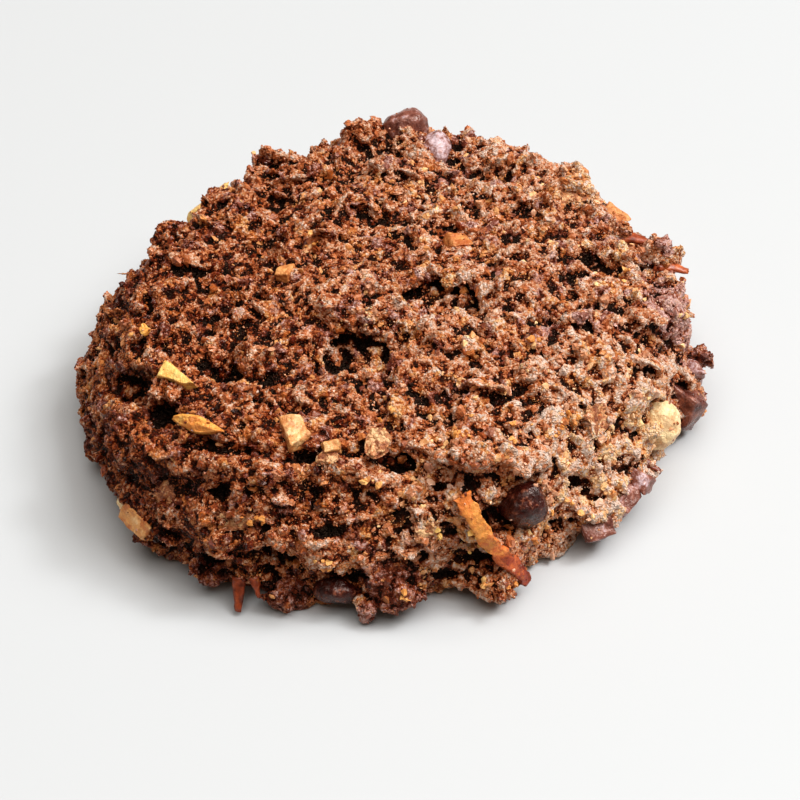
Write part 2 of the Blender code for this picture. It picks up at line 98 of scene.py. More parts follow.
PIT_REACH = 1.4  # size that a clod beside a pit may have, as a share of its distance from there
CLOD_OVERLAP = 0.1 * MM  # how far a clod reaches over the edge of what is baked into the dough
CRUMB_SIZE = 1.0 * MM  # the unevenness of the clods' own faces
CRUMB_HEIGHT = 0.17 * MM
UNDERSIDE = 0.5 * MM  # what lies lower than this is the flat baked underside
DOWNWARD = 0.6  # a way out whose fall is more than this belongs to the underside
UNDERSIDE_CRUMB = 0.45  # the unevenness of the underside, as a share of that of the rest
UNDERSIDE_SINK = 0.05 * MM
INSET = 0.3 * MM  # the dough lies this far inside what is baked into it
SETTLE_REACH = 0.9 * MM  # dough that lies farther than this from what is baked in stays
COVER = 0.5 * MM  # dough that lies less than this above what is baked in is moved inside it
# Hollows of two widths: name, rounds of smoothing that show them, and the height from a peak to a hollow
HOLLOWS = [("hollow", 3, 0.25 * MM), ("wide_hollow", 30, 1.3 * MM)]
LINE_REACH = 1.5  # how far a pit or bulge reaches, in its radii
PIT_SHADE_REACH = 1.3  # how far the painted shade of a pit reaches, in its radii, and how fast it gets full
PIT_SHADE_RISE = 1.6
PATCH_SHARE = 0.7  # how much of a patch's tone its clods take
# Pits with small clods only, in millimetres: one end, other end, radius, depth added to the solid's own
PITS = [
    ((-4.8, -11.0, 18), (-1.4, -9.6, 18), 2.5, 3.2),
    ((4.0, -1.2, 18), (8.2, -2.4, 18), 1.6, 2.8),
    ((22.0, 3.0, 18), (25.2, 3.6, 18), 1.5, 2.0),
    ((-31.6, -12.8, 14), (-28.6, -14.4, 16), 1.7, 2.4),
    ((-26.8, -18.4, 16.4), (-24.0, -20.0, 17), 1.3, 2.0),
    ((-20.4, -12.2, 18), (-17.4, -13.6, 18), 1.1, 1.8),
    ((-20.6, -24.8, 17.2), (-16.8, -25.8, 17.7), 0.7, 2.0),
    ((-15.4, -26.2, 17.8), (-10.6, -27.0, 18), 0.5, 1.6),
    ((-10.4, -27.3, 18), (-5.0, -27.9, 18), 0.9, 4.0),
    ((-4.4, -26.6, 18), (-1.4, -26.0, 18), 0.8, 2.6),
    ((-1.6, -25.6, 18), (1.6, -28.4, 18), 1.9, 2.4),
    ((1.6, -28.6, 18), (4.4, -30.6, 16.8), 1.8, 3.2),
    ((6.2, -30.4, 16.6), (9.4, -30.2, 15.8), 0.8, 2.0),
    ((11.7, -29.6, 14.8), (11.0, -31.0, 10.0), 1.5, 3.4),
    ((12.6, -29.0, 14.9), (16.8, -28.2, 13.5), 0.8, 2.4),
    ((18.0, -25.4, 13.4), (19.4, -26.0, 12.2), 0.8, 2.0),
    ((22.0, -25.0, 9.4), (23.4, -25.2, 8.0), 0.9, 2.2),
    ((24.7, -21.4, 12.6), (26.1, -23.0, 5.4), 0.6, 1.8),
    ((-13.0, -33.6, 6.6), (-11.0, -34.2, 6.2), 1.2, 2.6),
    ((3.4, -35.4, 5.6), (7.4, -35.4, 4.6), 1.0, 2.2),
    ((19.0, -29.4, 4.4), (22.6, -27.6, 3.6), 0.8, 1.8),
    ((-2.8, 12.4, 18), (1.4, 13.0, 18), 1.2, 1.2),
    ((-16.0, 6.8, 18), (-13.4, 7.8, 18), 1.0, 1.2),
    ((13.6, 12.4, 18), (16.4, 13.2, 18), 1.1, 1.2),
    ((9.6, -13.2, 18), (12.4, -12.6, 18), 0.8, 1.2),
    ((-12.4, -16.4, 18), (-10.2, -15.6, 18), 0.8, 1.2),
    ((16.6, -6.4, 18), (18.8, -5.6, 18), 0.8, 1.2),
    ((-19.8, -1.6, 18), (-17.6, -0.6, 18), 0.9, 1.2),
    ((30.4, 12.8, 13), (31.6, 10.8, 13), 0.9, 1.4),
    ((22.6, 26.4, 9), (24.4, 24.8, 8), 1.0, 1.6),
    ((-2.6, 34.4, 7), (0.4, 34.6, 6), 1.0, 1.6),
    ((-18.6, 29.8, 8), (-16.4, 31.2, 7), 1.0, 1.6),
    ((-33.4, 2.6, 7), (-33.6, 5.2, 6), 1.0, 1.6),
    ((-30.4, -18.4, 9), (-29.0, -20.2, 8), 0.7, 0.8),
    ((-7.8, -32.8, 12.6), (-5.6, -33.2, 11.2), 0.7, 0.6),
    ((21.4, 6.2, 18), (24.0, 5.6, 18), 1.5, 2.2),
    ((6.4, 24.2, 18), (8.6, 23.8, 18), 1.0, 1.6),
    ((10.6, 21.8, 18), (14.0, 20.6, 18), 1.2, 1.8),
]
# Bulges of the dough, in the same form, and places where it lies lower than the solid
BULGES = [
    ((38.2, 0.8, 9), (38.4, 2.4, 9), 2.2, -2.4),
    ((27.6, 17.4, 13), (29.4, 15.6, 12), 2.4, -1.5),
    ((32.0, 7.8, 16.4), (34.2, 7.2, 16.2), 2.6, -3.0),
    ((30.8, 15.6, 10.6), (34.0, 13.2, 9.8), 2.4, -2.6),
    ((31.0, -16.8, 10.4), (32.8, -13.4, 10.8), 1.6, -1.4),
    ((-13.6, 28.8, 14), (-11.4, 30.0, 14), 2.6, -1.4),
    ((-8.0, -35.4, 2), (6.0, -36.4, 2), 3.0, -0.8),
    ((-31.4, -17.6, 11.5), (-25.6, -23.4, 14.0), 2.4, 0.6),
    ((-25.0, -24.4, 14.6), (-18.6, -27.2, 16.0), 2.2, 0.6),
    ((-17.4, -27.6, 16.4), (-3.4, -29.6, 17.2), 2.0, 0.7),
    ((-27.0, -25.0, 9.0), (-20.0, -29.6, 10.0), 3.4, 0.6),
    ((-18.0, -30.4, 10.6), (-4.0, -33.4, 11.6), 3.6, 0.7),
    ((30.6, -11.6, 14.0), (32.2, -11.8, 12.0), 3.0, 0.8),
    ((34.4, -2.0, 13.6), (34.2, 1.4, 13.6), 2.4, 0.6),
    ((22.4, 18.4, 17.6), (25.6, 16.0, 17.4), 2.6, 1.0),
    ((4.6, -28.2, 17.9), (9.6, -28.0, 17.8), 1.1, 1.3),
    ((9.6, -28.2, 17.6), (17.4, -26.4, 15.6), 1.1, 1.4),
    ((36.6, 4.4, 8), (36.8, 8.2, 9), 2.4, 0.9),
    ((5.0, 34.2, 13), (11.6, 33.0, 13), 2.8, 1.1),
    ((27.4, -22.2, 6), (30.4, -18.0, 7), 2.2, 1.0),
]
# Patches of lighter or darker dough: place, reach, tone from 0 to 1, kind as in the dough's paint
PATCHES = [
    ((24.0, 17.3, 17.5), 3.4, 1.3, 0.1),
    ((20.0, 22.0, 17.0), 2.6, 1.1, 0.3),
    ((7.9, 8.3, 18), 1.7, 1.3, 0.12),
    ((-1.4, 13.2, 18), 1.8, 1.1, 0.3),
    ((-2.9, 28.4, 18), 2.6, 0.1, 0.5),
    # Painted light: the lilac rim on the right, where the light falls
    ((33.7, -1.2, 14), 4.6, 1.8, 0.9),
    ((31.2, -11.4, 13), 3.4, 1.5, 0.14),
    ((-11.9, 1.5, 18), 1.5, 1.1, 0.1),
    # Painted shade: the two dark patches in the valley at the front
    ((0.0, -26.4, 18.0), 3.4, -0.5, 0.6),
    ((3.4, -29.8, 17.0), 3.0, -0.6, 0.6),
    ((1.0, -36.0, 5.0), 4.0, -0.1, 0.86),
    ((-11.0, -34.2, 2.3), 3.2, -0.1, 0.86),
    ((11.1, -33.8, 3.8), 3.2, 0.2, 0.5),
    ((-19.7, -32.0, 3.0), 3.0, 0.0, 0.86),
    ((37.6, -1.6, 7.0), 2.6, 0.1, 0.86),
    ((-6.0, -29.4, 16.8), 2.0, 0.9, 0.3),
    ((8.0, -28.2, 17.6), 1.8, 0.6, 0.3),
    ((9.6, 27.6, 18.0), 2.2, 0.9, 0.12),
]
# Wide zones of painted light and shade: the dough lighter on the top, the front and the right front, where
# the light falls, and darker at the left front. Middle, reach, what is added to the tone at the middle, and
# how much more golden the clods are there
LIGHT_AND_SHADE_ZONES = [
    ((26.0, -21.0, 11.0), 16.0, 0.75, 0.75),
    ((4.0, 22.0, 18.0), 20.0, 0.25, 0.0),
    ((0.0, -6.0, 18.0), 16.0, 0.3, 0.0),
    ((6.0, -30.0, 14.0), 12.0, 0.5, 0.2),
    ((-36.0, -10.0, 8.0), 14.0, 0.05, 0.0),
    ((-24.0, -26.0, 6.0), 14.0, -0.4, 0.0),
]
PAINTED_SIDE_LIGHT = 0.6  # painted light and shade: how much lighter the clods are at the rim on the right, towards the light, than in the middle, and darker to the left


def millimetres(*values):
    """The same values in metres, as a vector."""
    return Vector(values) * MM


def grid_of(mesh):
    """The points of a mesh as rows of an array."""
    points = np.empty(len(mesh.vertices) * 3, np.float32)
    mesh.vertices.foreach_get("co", points)
    return points.reshape(-1, 3).astype(float)


def put_grid(mesh, points):
    """Moves the points of a mesh to the rows of an array."""
    mesh.vertices.foreach_set("co", points.astype(np.float32).ravel())
    mesh.update()


def tree_of(piece):
    """A search tree of a piece's faces."""
    return BVHTree.FromObject(piece, bpy.context.evaluated_depsgraph_get())


def edges_of(mesh):
    """The two ends of each edge of a mesh."""
    edges = np.empty(len(mesh.edges) * 2, np.int64)
    mesh.edges.foreach_get("vertices", edges)
    return edges.reshape(-1, 2)


def normals_of(mesh):
    """The ways out at the points of a mesh."""
    normals = np.empty(len(mesh.vertices) * 3, np.float32)
    mesh.vertex_normals.foreach_get("vector", normals)
    return normals.reshape(-1, 3)


def keep_value(mesh, name, values):
    """Keeps a number on every point of a mesh."""
    mesh.attributes.new(name, "FLOAT", "POINT").data.foreach_set("value", np.asarray(values, np.float32))


def put_in_order(mesh):
    """Lists the faces of a mesh by their corners, so that their order is the same in each run."""
    points = [vert.co.copy() for vert in mesh.vertices]
    faces = []
    for face in mesh.polygons:
        corners = list(face.vertices)
        first = corners.index(min(corners))
        faces.append(corners[first:] + corners[:first])
    mesh.clear_geometry()
    mesh.from_pydata(points, [], sorted(faces))


def link(name, bm):
    """A new smooth-shaded object of a bmesh, in the scene."""
    mesh = bpy.data.meshes.new(name)
    bm.to_mesh(mesh)
    bm.free()
    put_in_order(mesh)
    mesh.shade_smooth()
    piece = bpy.data.objects.new(name, mesh)
    bpy.context.scene.collection.objects.link(piece)
    return piece


def apply_modifier(piece, kind, **settings):
    """Gives a piece the mesh that a modifier makes of it."""
    modifier = piece.modifiers.new(kind.lower(), kind)
    for name, value in settings.items():
        setattr(modifier, name, value)
    graph = bpy.context.evaluated_depsgraph_get()
    mesh = bpy.data.meshes.new_from_object(piece.evaluated_get(graph))
    piece.modifiers.clear()
    piece.data = mesh


def finish_piece(piece, material, replaces=False):
    """Gives a piece its material and its slot, and lets it ride on the cookie."""
    piece.data.materials.clear()
    piece.data.materials.append(material)
    if replaces:
        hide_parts("cookie")
    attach(piece, "root")
    return piece


class Shade:
    """A number or colour that varies over a surface, which takes part in sums like a number."""

    def __init__(self, paint, socket):
        self.paint = paint
        self.socket = socket

    def _maths(self, operation, first, second=0.0):
        return self.paint.node("Math", {"operation": operation}, first, second)[0]

    def __add__(self, other):
        return self._maths("ADD", self, other)

    __radd__ = __add__

    def __sub__(self, other):
        return self._maths("SUBTRACT", self, other)

    def __rsub__(self, other):
        return self._maths("SUBTRACT", other, self)

    def __mul__(self, other):
        return self._maths("MULTIPLY", self, other)

    __rmul__ = __mul__

    def between(self, low, high):
        """0 below a value, 1 above another, and smooth between them."""
        settings = {"interpolation_type": "SMOOTHSTEP"}
        return self.paint.node("MapRange", settings, self, low, high, 0.0, 1.0)[0]


class Paint:
    """The nodes of one material."""

    def __init__(self, name):
        self.material = bpy.data.materials.new(name)
        self.material.use_nodes = True
        self.tree = self.material.node_tree
        self.shader = self.tree.nodes["Principled BSDF"]
        self.place = self.node("TexCoord", {})[3]

    def _feed(self, socket, value):
        if isinstance(value, Shade):
            self.tree.links.new(value.socket, socket)
        elif value is not None:
            socket.default_value = value

    def node(self, kind, settings, *values, **named):
        """Adds a node, sets it up, feeds its sockets in order or by name, and returns its outputs."""
        made = self.tree.nodes.new("ShaderNode" + kind)
        stops = settings.pop("stops", None)
        for name, value in settings.items():
            setattr(made, name, value)
        if stops:
            ramp = made.color_ramp
            while len(ramp.elements) < len(stops):
                ramp.elements.new(0.5)
            for element, (position, colour) in zip(ramp.elements, stops):
                element.position = position
                element.color = (*colour, 1)
        for socket, value in zip(made.inputs, values):
            self._feed(socket, value)
        for name, value in named.items():
            self._feed(made.inputs[name], value)
        return [Shade(self, socket) for socket in made.outputs]

    def attribute(self, name):
        """A number kept on the points of the mesh."""
        return self.node("Attribute", {"attribute_name": name})[2]

    def warped(self, size, reach):
        """The place, pulled about in swirls of a size by up to a reach, so that cells there are ragged."""
        settings = {"noise_dimensions": "3D"}
        pull = self.node("TexNoise", settings, Vector=self.place, Scale=1 / size, Detail=2.0)[1]
        centred = self.node("VectorMath", {"operation": "SUBTRACT"}, pull, (0.5, 0.5, 0.5))[0]
        both_ways = (2 * reach, 2 * reach, 2 * reach)
        scaled = self.node("VectorMath", {"operation": "MULTIPLY"}, centred, both_ways)[0]
        return self.node("VectorMath", {"operation": "ADD"}, self.place, scaled)[0]

    def noise(self, size, detail, roughness):
        """Noise from 0 to 1 with swells of a size in metres."""
        named = {"Vector": self.place, "Scale": 1 / size, "Detail": detail, "Roughness": roughness}
        return self.node("TexNoise", {"noise_dimensions": "3D"}, **named)[0]

    def grains(self, size):
        """Ragged grains of a size in metres: distance from a grain's middle, and a number of its own."""
        place = self.warped(size, 0.6 * size)
        distance, own = self.node("TexVoronoi", {"feature": "F1"}, Vector=place, Scale=1 / size)[:2]
        return distance, (own - 0.5) * 1.8 + 0.5

    def ramp(self, factor, stops):
        """A colour that runs through stops as a factor goes from 0 to 1."""
        return self.node("ValToRGB", {"stops": stops}, factor)[0]

    def mix(self, factor, first, second, blend="MIX"):
        """One colour over another."""
        settings = {"data_type": "RGBA", "blend_type": blend}
        made = self.node("Mix", settings)
        sockets = made[0].socket.node.inputs
        for socket, value in ((sockets[0], factor), (sockets[6], first), (sockets[7], second)):
            colour = (*value, 1) if isinstance(value, tuple) else value
            self._feed(socket, colour)
        return made[2]

    def bump(self, height, distance, strength=1.0, after=None):
        """The way the surface faces once a height stands out of it, or into it at a negative strength."""
        outward = height if strength > 0 else 1 - height
        named = {"Height": outward, "Distance": distance, "Strength": abs(strength)}
        if after is not None:
            named["Normal"] = after
        return self.node("Bump", {}, **named)[0]

    def finish(self, **inputs):
        """Feeds the shader's own sockets and returns the material."""
        for name, value in inputs.items():
            socket = self.shader.inputs[name.replace("_", " ")]
            self._feed(socket, (*value, 1) if isinstance(value, tuple) else value)
        return self.material


def srgb(*channels):
    """A colour given as 0 to 255 on screen, in linear light."""
    return tuple(((c / 255 + 0.055) / 1.055) ** 2.4 if c > 10 else c / 255 / 12.92 for c in channels)


SHEEN = (1.0, 0.64, 0.45)  # the tint of light on the dough's fat
GLINT = (1.0, 0.9, 0.83)  # and on its crumbs and the chocolate


def dough_colour(paint, light, kind):
    """The dough's colour, from near black in the painted shade of its pores at 0 to the tan of its driest
    grain at 1.

    Kind runs from golden oats at 0 over cocoa dough to dark, plum-brown chocolate at 1.
    """
    cocoa = paint.ramp(light, [
        (0.1, srgb(28, 2, 0)),
        (0.28, srgb(104, 30, 3)),
        (0.5, srgb(190, 112, 66)),
        (0.72, srgb(216, 168, 137)),
        (0.95, srgb(229, 204, 188)),
    ])
    oat = paint.ramp(light, [
        (0.1, srgb(66, 22, 6)),
        (0.35, srgb(174, 94, 42)),
        (0.6, srgb(220, 156, 98)),
        (0.9, srgb(240, 206, 164)),
    ])
    plum = paint.ramp(light, [
        (0.1, srgb(26, 4, 2)),
        (0.5, srgb(108, 44, 32)),
        (0.7, srgb(172, 118, 108)),
        (0.95, srgb(208, 166, 160)),
    ])
    golden = paint.mix(1 - kind.between(0.05, 0.16), cocoa, oat)
    return paint.mix(kind.between(0.72, 0.9) * 0.85, golden, plum)


def dough_paint():
    """Baked cocoa dough of ragged grains on clods, each with a tone of its own; painted shade darkens its
    pores and hollows to near black.
    """
    paint = Paint("dough")
    hollow = paint.attribute("hollow")
    wide = paint.attribute("wide_hollow")
    speck = paint.noise(0.5 * MM, detail=4, roughness=0.72)
    from_fine, fine = paint.grains(0.32 * MM)
    from_coarse, coarse = paint.grains(0.8 * MM)
    pit = paint.attribute("pit").between(0.3, 1.0)
    # The clods' tone carries painted light and shade from the side, the wide zones and some patches
    clod = 0.555 + (paint.attribute("tone") - 0.5) * 0.26
    # Painted light and shade: lighter on the peaks, darker in the hollows
    painted_relief_shade = (0.5 - hollow) * 0.22 + (0.5 - wide) * 0.24
    # Painted shade in the pits and hollows
    depth = pit * 0.2 + hollow.between(0.5, 0.9) * 0.22 + wide.between(0.5, 0.85) * 0.22
    # Grains lighter where their bumps stand out and darker in the cracks between them: grain colour and
    # painted shade of the fine relief
    grain = (speck - 0.5) * 0.66 + (fine - 0.5) * 0.34 + (coarse - 0.5) * 0.12
    light = clod + painted_relief_shade - depth + grain - from_fine.between(0.3, 0.7) * 0.14
    kind = paint.attribute("kind") + (fine - 0.5) * 0.2
    colour = dough_colour(paint, light, kind)
    # Painted shade: near black in the wide hollows and the pits
    shade = paint.mix(wide.between(0.6, 0.92) * 0.9 + pit * 0.6, colour, srgb(80, 26, 10), "MULTIPLY")
    face = paint.bump(speck, 0.3 * MM, 0.8)
    face = paint.bump(from_coarse, 0.4 * MM, -0.7, face)
    face = paint.bump(from_fine, 0.24 * MM, -1.0, face)
    rough = 0.42 - fine.between(0.5, 0.75) * 0.24
    return paint.finish(
        Base_Color=shade, Roughness=rough, Normal=face, Specular_IOR_Level=0.32, Specular_Tint=SHEEN,
    )


def crumb_paint(name, lighter):
    """Crumbs of the dough, each near the tone of the clod that it lies on."""
    paint = Paint(name)
    speck = paint.noise(0.25 * MM, detail=3, roughness=0.65)
    light = 0.47 + lighter + (paint.attribute("tone") - 0.5) * 0.5 + (speck - 0.5) * 0.6
    colour = dough_colour(paint, light, paint.attribute("kind"))
    face = paint.bump(speck, 0.1 * MM, 0.7)
    rough = 0.28 - speck.between(0.4, 0.6) * 0.1
    return paint.finish(
        Base_Color=colour, Roughness=rough, Normal=face, Specular_IOR_Level=0.6, Specular_Tint=GLINT,
    )


def pale_paint(name, stops):
    """Grains of oat, nut and sugar, each with its own tone along a run of colours."""
    paint = Paint(name)
    tone = paint.attribute("tone")
    speck = paint.noise(0.3 * MM, detail=3, roughness=0.65)
    colour = paint.ramp(tone * 0.8 + speck * 0.5 - 0.15, stops)
    face = paint.bump(speck, 0.14 * MM, 0.8)
    return paint.finish(Base_Color=colour, Roughness=0.5 - speck.between(0.5, 0.7) * 0.15, Normal=face)


def chocolate_paint():
    """Dark chocolate with a satin bloom, crumbs' dust on it and a few scuffs; a high tone runs into a pale
    lilac painted highlight.
    """
    paint = Paint("chocolate")
    cloud = paint.noise(1.2 * MM, detail=5, roughness=0.65)
    from_fine, fine = paint.grains(0.4 * MM)
    # A high tone reaches the pale lilac end of these colours, a painted highlight
    colour = paint.ramp(cloud + (paint.attribute("tone") - 0.3) * 0.6, [
        (0.35, srgb(38, 7, 5)),
        (0.6, srgb(74, 27, 20)),
        (0.85, srgb(138, 86, 72)),
        (1.0, srgb(214, 190, 194)),
    ])
    dusty = paint.mix(fine.between(0.7, 0.95) * cloud.between(0.5, 0.6) * 0.5, colour, srgb(168, 100, 70))
    face = paint.bump(cloud, 0.24 * MM, 0.8)
    face = paint.bump(from_fine, 0.07 * MM, -0.8, face)
    rough = 0.18 + fine * 0.14
    return paint.finish(
        Base_Color=dusty, Roughness=rough, Normal=face, Specular_IOR_Level=0.6, Specular_Tint=GLINT,
    )


def nut_paint(name, skin, middle, light):
    """Toasted nut: cream to gold, with browned skin in places and a faint grain."""
    paint = Paint(name)
    toast = paint.noise(1.3 * MM, detail=5, roughness=0.65)
    from_fine, fine = paint.grains(0.45 * MM)
    colour = paint.ramp((toast - 0.5) * 0.8 + paint.attribute("tone") + (fine - 0.5) * 0.2, [
        (0.0, skin),
        (0.45, middle),
        (0.9, light),
    ])
    patch = paint.noise(2.1 * MM, detail=5, roughness=0.7).between(0.5, 0.58)
    browned = paint.mix(patch * (1.1 - paint.attribute("tone")), colour, skin)
    face = paint.bump(toast, 0.6 * MM, 0.8)
    face = paint.bump(from_fine, 0.15 * MM, -0.6, face)
    return paint.finish(Base_Color=browned, Roughness=0.44, Normal=face)


def oat_paint(name):
    """Toasted oat flake: brown to gold, darker where cocoa clings to it."""
    paint = Paint(name)
    cling = paint.noise(0.9 * MM, detail=4, roughness=0.7)
    from_fine, fine = paint.grains(0.4 * MM)
    colour = paint.ramp(paint.attribute("tone") * 0.5 + (cling - 0.5) * 1.2 + (fine - 0.5) * 0.4 + 0.25, [
        (0.15, srgb(112, 54, 28)),
        (0.5, srgb(190, 120, 74)),
        (0.85, srgb(238, 192, 142)),
    ])
    stained = paint.mix(paint.noise(1.4 * MM, detail=5, roughness=0.75).between(0.48, 0.58) * 0.85, colour,
                        srgb(134, 70, 38))
    face = paint.bump(cling, 0.5 * MM, 0.9)
    face = paint.bump(from_fine, 0.2 * MM, -0.8, face)
    return paint.finish(Base_Color=stained, Roughness=0.46, Normal=face)


def shard_paint():
    """Thin baked shards: translucent-looking red-brown."""
    paint = Paint("shard")
    cloud = paint.noise(0.9 * MM, detail=4, roughness=0.6)
    colour = paint.ramp(cloud + (paint.attribute("tone") - 0.5) * 0.6, [
        (0.2, srgb(70, 24, 12)),
        (0.5, srgb(152, 70, 38)),
        (0.85, srgb(226, 128, 76)),
    ])
    return paint.finish(Base_Color=colour, Roughness=0.36, Normal=paint.bump(cloud, 0.2 * MM, 0.6))


def coconut_paint():
    """Toasted coconut: orange-gold at its top end, red-brown lower down, with fibres along it."""
    paint = Paint("coconut")
    cloud = paint.noise(1.1 * MM, detail=4, roughness=0.7)
    fibre = paint.noise(0.4 * MM, detail=4, roughness=0.7)
    colour = paint.ramp(paint.attribute("along") + (cloud - 0.5) * 1.5, [
        (0.0, srgb(232, 132, 58)),
        (0.3, srgb(246, 168, 84)),
        (0.6, srgb(216, 114, 56)),
        (0.95, srgb(150, 56, 30)),
    ])
    worn = paint.mix(fibre.between(0.55, 0.7) * 0.5, colour, srgb(140, 66, 28))
    face = paint.bump(cloud, 0.5 * MM, 0.7)
    face = paint.bump(fibre, 0.2 * MM, 0.8, face)
    return paint.finish(Base_Color=worn, Roughness=0.4, Normal=face)


# Where the solid's surface is, and which way is out of it


noise.seed_set(NOISE_SEED)
solid_tree = tree_of(SOLID)


def on_solid(lines):
    """Pits or bulges with their ends moved onto the solid, all in metres."""
    return [(solid_tree.find_nearest(millimetres(*first))[0], solid_tree.find_nearest(millimetres(*last))[0],
             radius * MM, height * MM) for first, last, radius, height in lines]


pits, bulges = on_solid(PITS), on_solid(BULGES)


def seat(point, reach=2.5 * MM):
    """The nearest point of the solid, and the mean way out of it there."""
    near, _, _, _ = solid_tree.find_nearest(point)
    total = Vector()
    for _, out, _, _ in solid_tree.find_nearest_range(near, reach):
        total += out
    return near, total.normalized()


def facing(out, turn=0.0):
    """A rotation whose Z is the way out and whose Y points up the surface, turned about the way out."""
    across = Vector((0, 0, 1)).cross(out)
    if across.length < 0.2:
        across = Vector((1, 0, 0))
    across = (across - out * across.dot(out)).normalized()
    axes = Matrix((across, out.cross(across), out)).transposed().to_4x4()
    return axes @ Matrix.Rotation(turn, 4, "Z")


def roughen(bm, size, height, offset):
    """Moves each point of a small piece in or out from its middle, by a noise of a size and a height."""
    middle = sum((v.co for v in bm.verts), Vector()) / len(bm.verts)
    for vert in bm.verts:
        way = (vert.co - middle).normalized()
        vert.co += way * height * noise.noise(vert.co / size + Vector((offset, 0, 0)))


# The dough


def from_line(points, line):
    """How far each point is from the middle of a pit or bulge, as a share of its radius."""
    first, last, radius, _ = line
    run = np.array(last - first)
    from_first = points - np.array(first)
    along = np.clip(from_first @ run / (run @ run), 0, 1)
    return np.linalg.norm(from_first - along[:, None] * run, axis=1) / radius


def swelling(points):
    """How far the dough swells out at each point, or sinks into a pit, before its clods are laid on it."""
    shift = Vector((3, 1, 8))
    out = np.zeros(len(points))
    for size, height in SWELLS:
        out += [height * noise.noise(Vector(point) / size + shift) for point in points]
    for sign, lines in ((-1, pits), (1, bulges)):
        for line in lines:
            out += sign * line[3] * np.maximum(0, 1 - (from_line(points, line) / LINE_REACH) ** 2)
    return out


def in_pits(points):
    """How far inside a pit each point is: 0 outside, 1 near the middle of one."""
    deepest = np.stack([1 - from_line(points, pit) / PIT_SHADE_REACH for pit in pits]).max(axis=0)
    return np.clip(PIT_SHADE_RISE * deepest, 0, 1)


def crumb_height(point):
    """How far the face of a clod stands out at a point."""
    return CRUMB_HEIGHT * noise.fractal(point / CRUMB_SIZE, 0.7, 2.2, 3)


def settle(points, trees):
    """Moves the points of the dough that would show through what is baked into it to just inside that."""
    for row in range(len(points)):
        point = Vector(points[row])
        for tree in trees:
            near, out, _, _ = tree.find_nearest(point, SETTLE_REACH)
            if near is not None and -INSET < (point - near).dot(out) < COVER:
                points[row] = near - out * INSET


def keep_inside(points):
    """Holds the points of a piece within the box of the solid."""
    return np.clip(points, np.array(solid_low), np.array(solid_high))


def neighbours_mean(points, edges, rounds):
    """Each point moved to the mean of its neighbours, some rounds over."""
    count = np.bincount(edges.ravel(), minlength=len(points))[:, None]
    moved = points.copy()
    for _ in range(rounds):
        total = np.zeros_like(moved)
        np.add.at(total, edges[:, 0], moved[edges[:, 1]])
        np.add.at(total, edges[:, 1], moved[edges[:, 0]])
        moved = total / np.maximum(count, 1)
    return moved


def mark_hollows(mesh, name, rounds, reach):
    """Keeps on each point how deep it lies under its surroundings: 0 on a peak, 1 in a hollow."""
    points = grid_of(mesh)
    around = neighbours_mean(points, edges_of(mesh), rounds)
    depth = ((around - points) * normals_of(mesh)).sum(1)
    keep_value(mesh, name, np.clip(0.5 + depth / reach, 0, 1))


def largest_shell(mesh):
    """Takes away the small loose shells, such as those of pockets closed off by clods."""
    edges = edges_of(mesh)
    label = np.arange(len(mesh.vertices))
    while True:
        lowest = np.minimum(label[edges[:, 0]], label[edges[:, 1]])
        after = label.copy()
        np.minimum.at(after, edges[:, 0], lowest)
        np.minimum.at(after, edges[:, 1], lowest)
        after = after[after]
        if (after == label).all():
            break
        label = after
    largest = np.bincount(label).argmax()
    bm = bmesh.new()
    bm.from_mesh(mesh)
    loose = [vert for vert, own in zip(bm.verts, label) if own != largest]
    bmesh.ops.delete(bm, geom=loose, context="VERTS")
    bm.to_mesh(mesh)
    bm.free()


def dough_core():
    """The solid's own form, made fine and smooth and a little smaller, with its swells."""
    bm = bmesh.new()
    bm.from_mesh(SOLID.data)
    bmesh.ops.remove_doubles(bm, verts=bm.verts, dist=1e-6)
    core = link("dough", bm)
    apply_modifier(core, "REMESH", mode="VOXEL", voxel_size=CORE_VOXEL)
    apply_modifier(core, "SMOOTH", factor=0.5, iterations=3)
    points, normals = grid_of(core.data), normals_of(core.data)
    swell = (swelling(points) - DOUGH_INSET) * (points[:, 2] > UNDERSIDE)
    put_grid(core.data, points + normals * swell[:, None])
    return core


def clod_room(places, trees):
    """The largest clod that fits at each place: a small one in a pit, and none on what is baked in."""
    room = np.full(len(places), 1.0)
    for pit in pits:
        free = PIT_REACH * (from_line(places, pit) - PIT_RIM)
        room = np.minimum(room, np.maximum(PIT_CLOD, free) * pit[2])
    for row, place in enumerate(places):
        point = Vector(place)
        for tree in trees:
            near, out, _, distance = tree.find_nearest(point, 3 * MM)
            if near is not None:
                free = distance if (point - near).dot(out) > 0 else 0.0
                room[row] = min(room[row], 2 * (free + CLOD_OVERLAP))
    return room


def tree_of_places(places):
    """A search tree of places."""
    tree = KDTree(len(places))
    for row, place in enumerate(places):
        tree.insert(place, row)
    tree.balance()
    return tree


def spaced(places, sizes, closeness):
    """Which clods to keep so that none crowds a larger one: they lie side by side with cracks between."""
    tree = tree_of_places(places)
    kept = np.ones(len(places), bool)
    for row in np.argsort(-sizes, kind="stable"):
        if kept[row]:
            for _, other, distance in tree.find_range(places[row], closeness * sizes[row]):
                if sizes[other] < sizes[row] and distance < closeness * (sizes[row] + sizes[other]) / 2:
                    kept[other] = False
    return kept


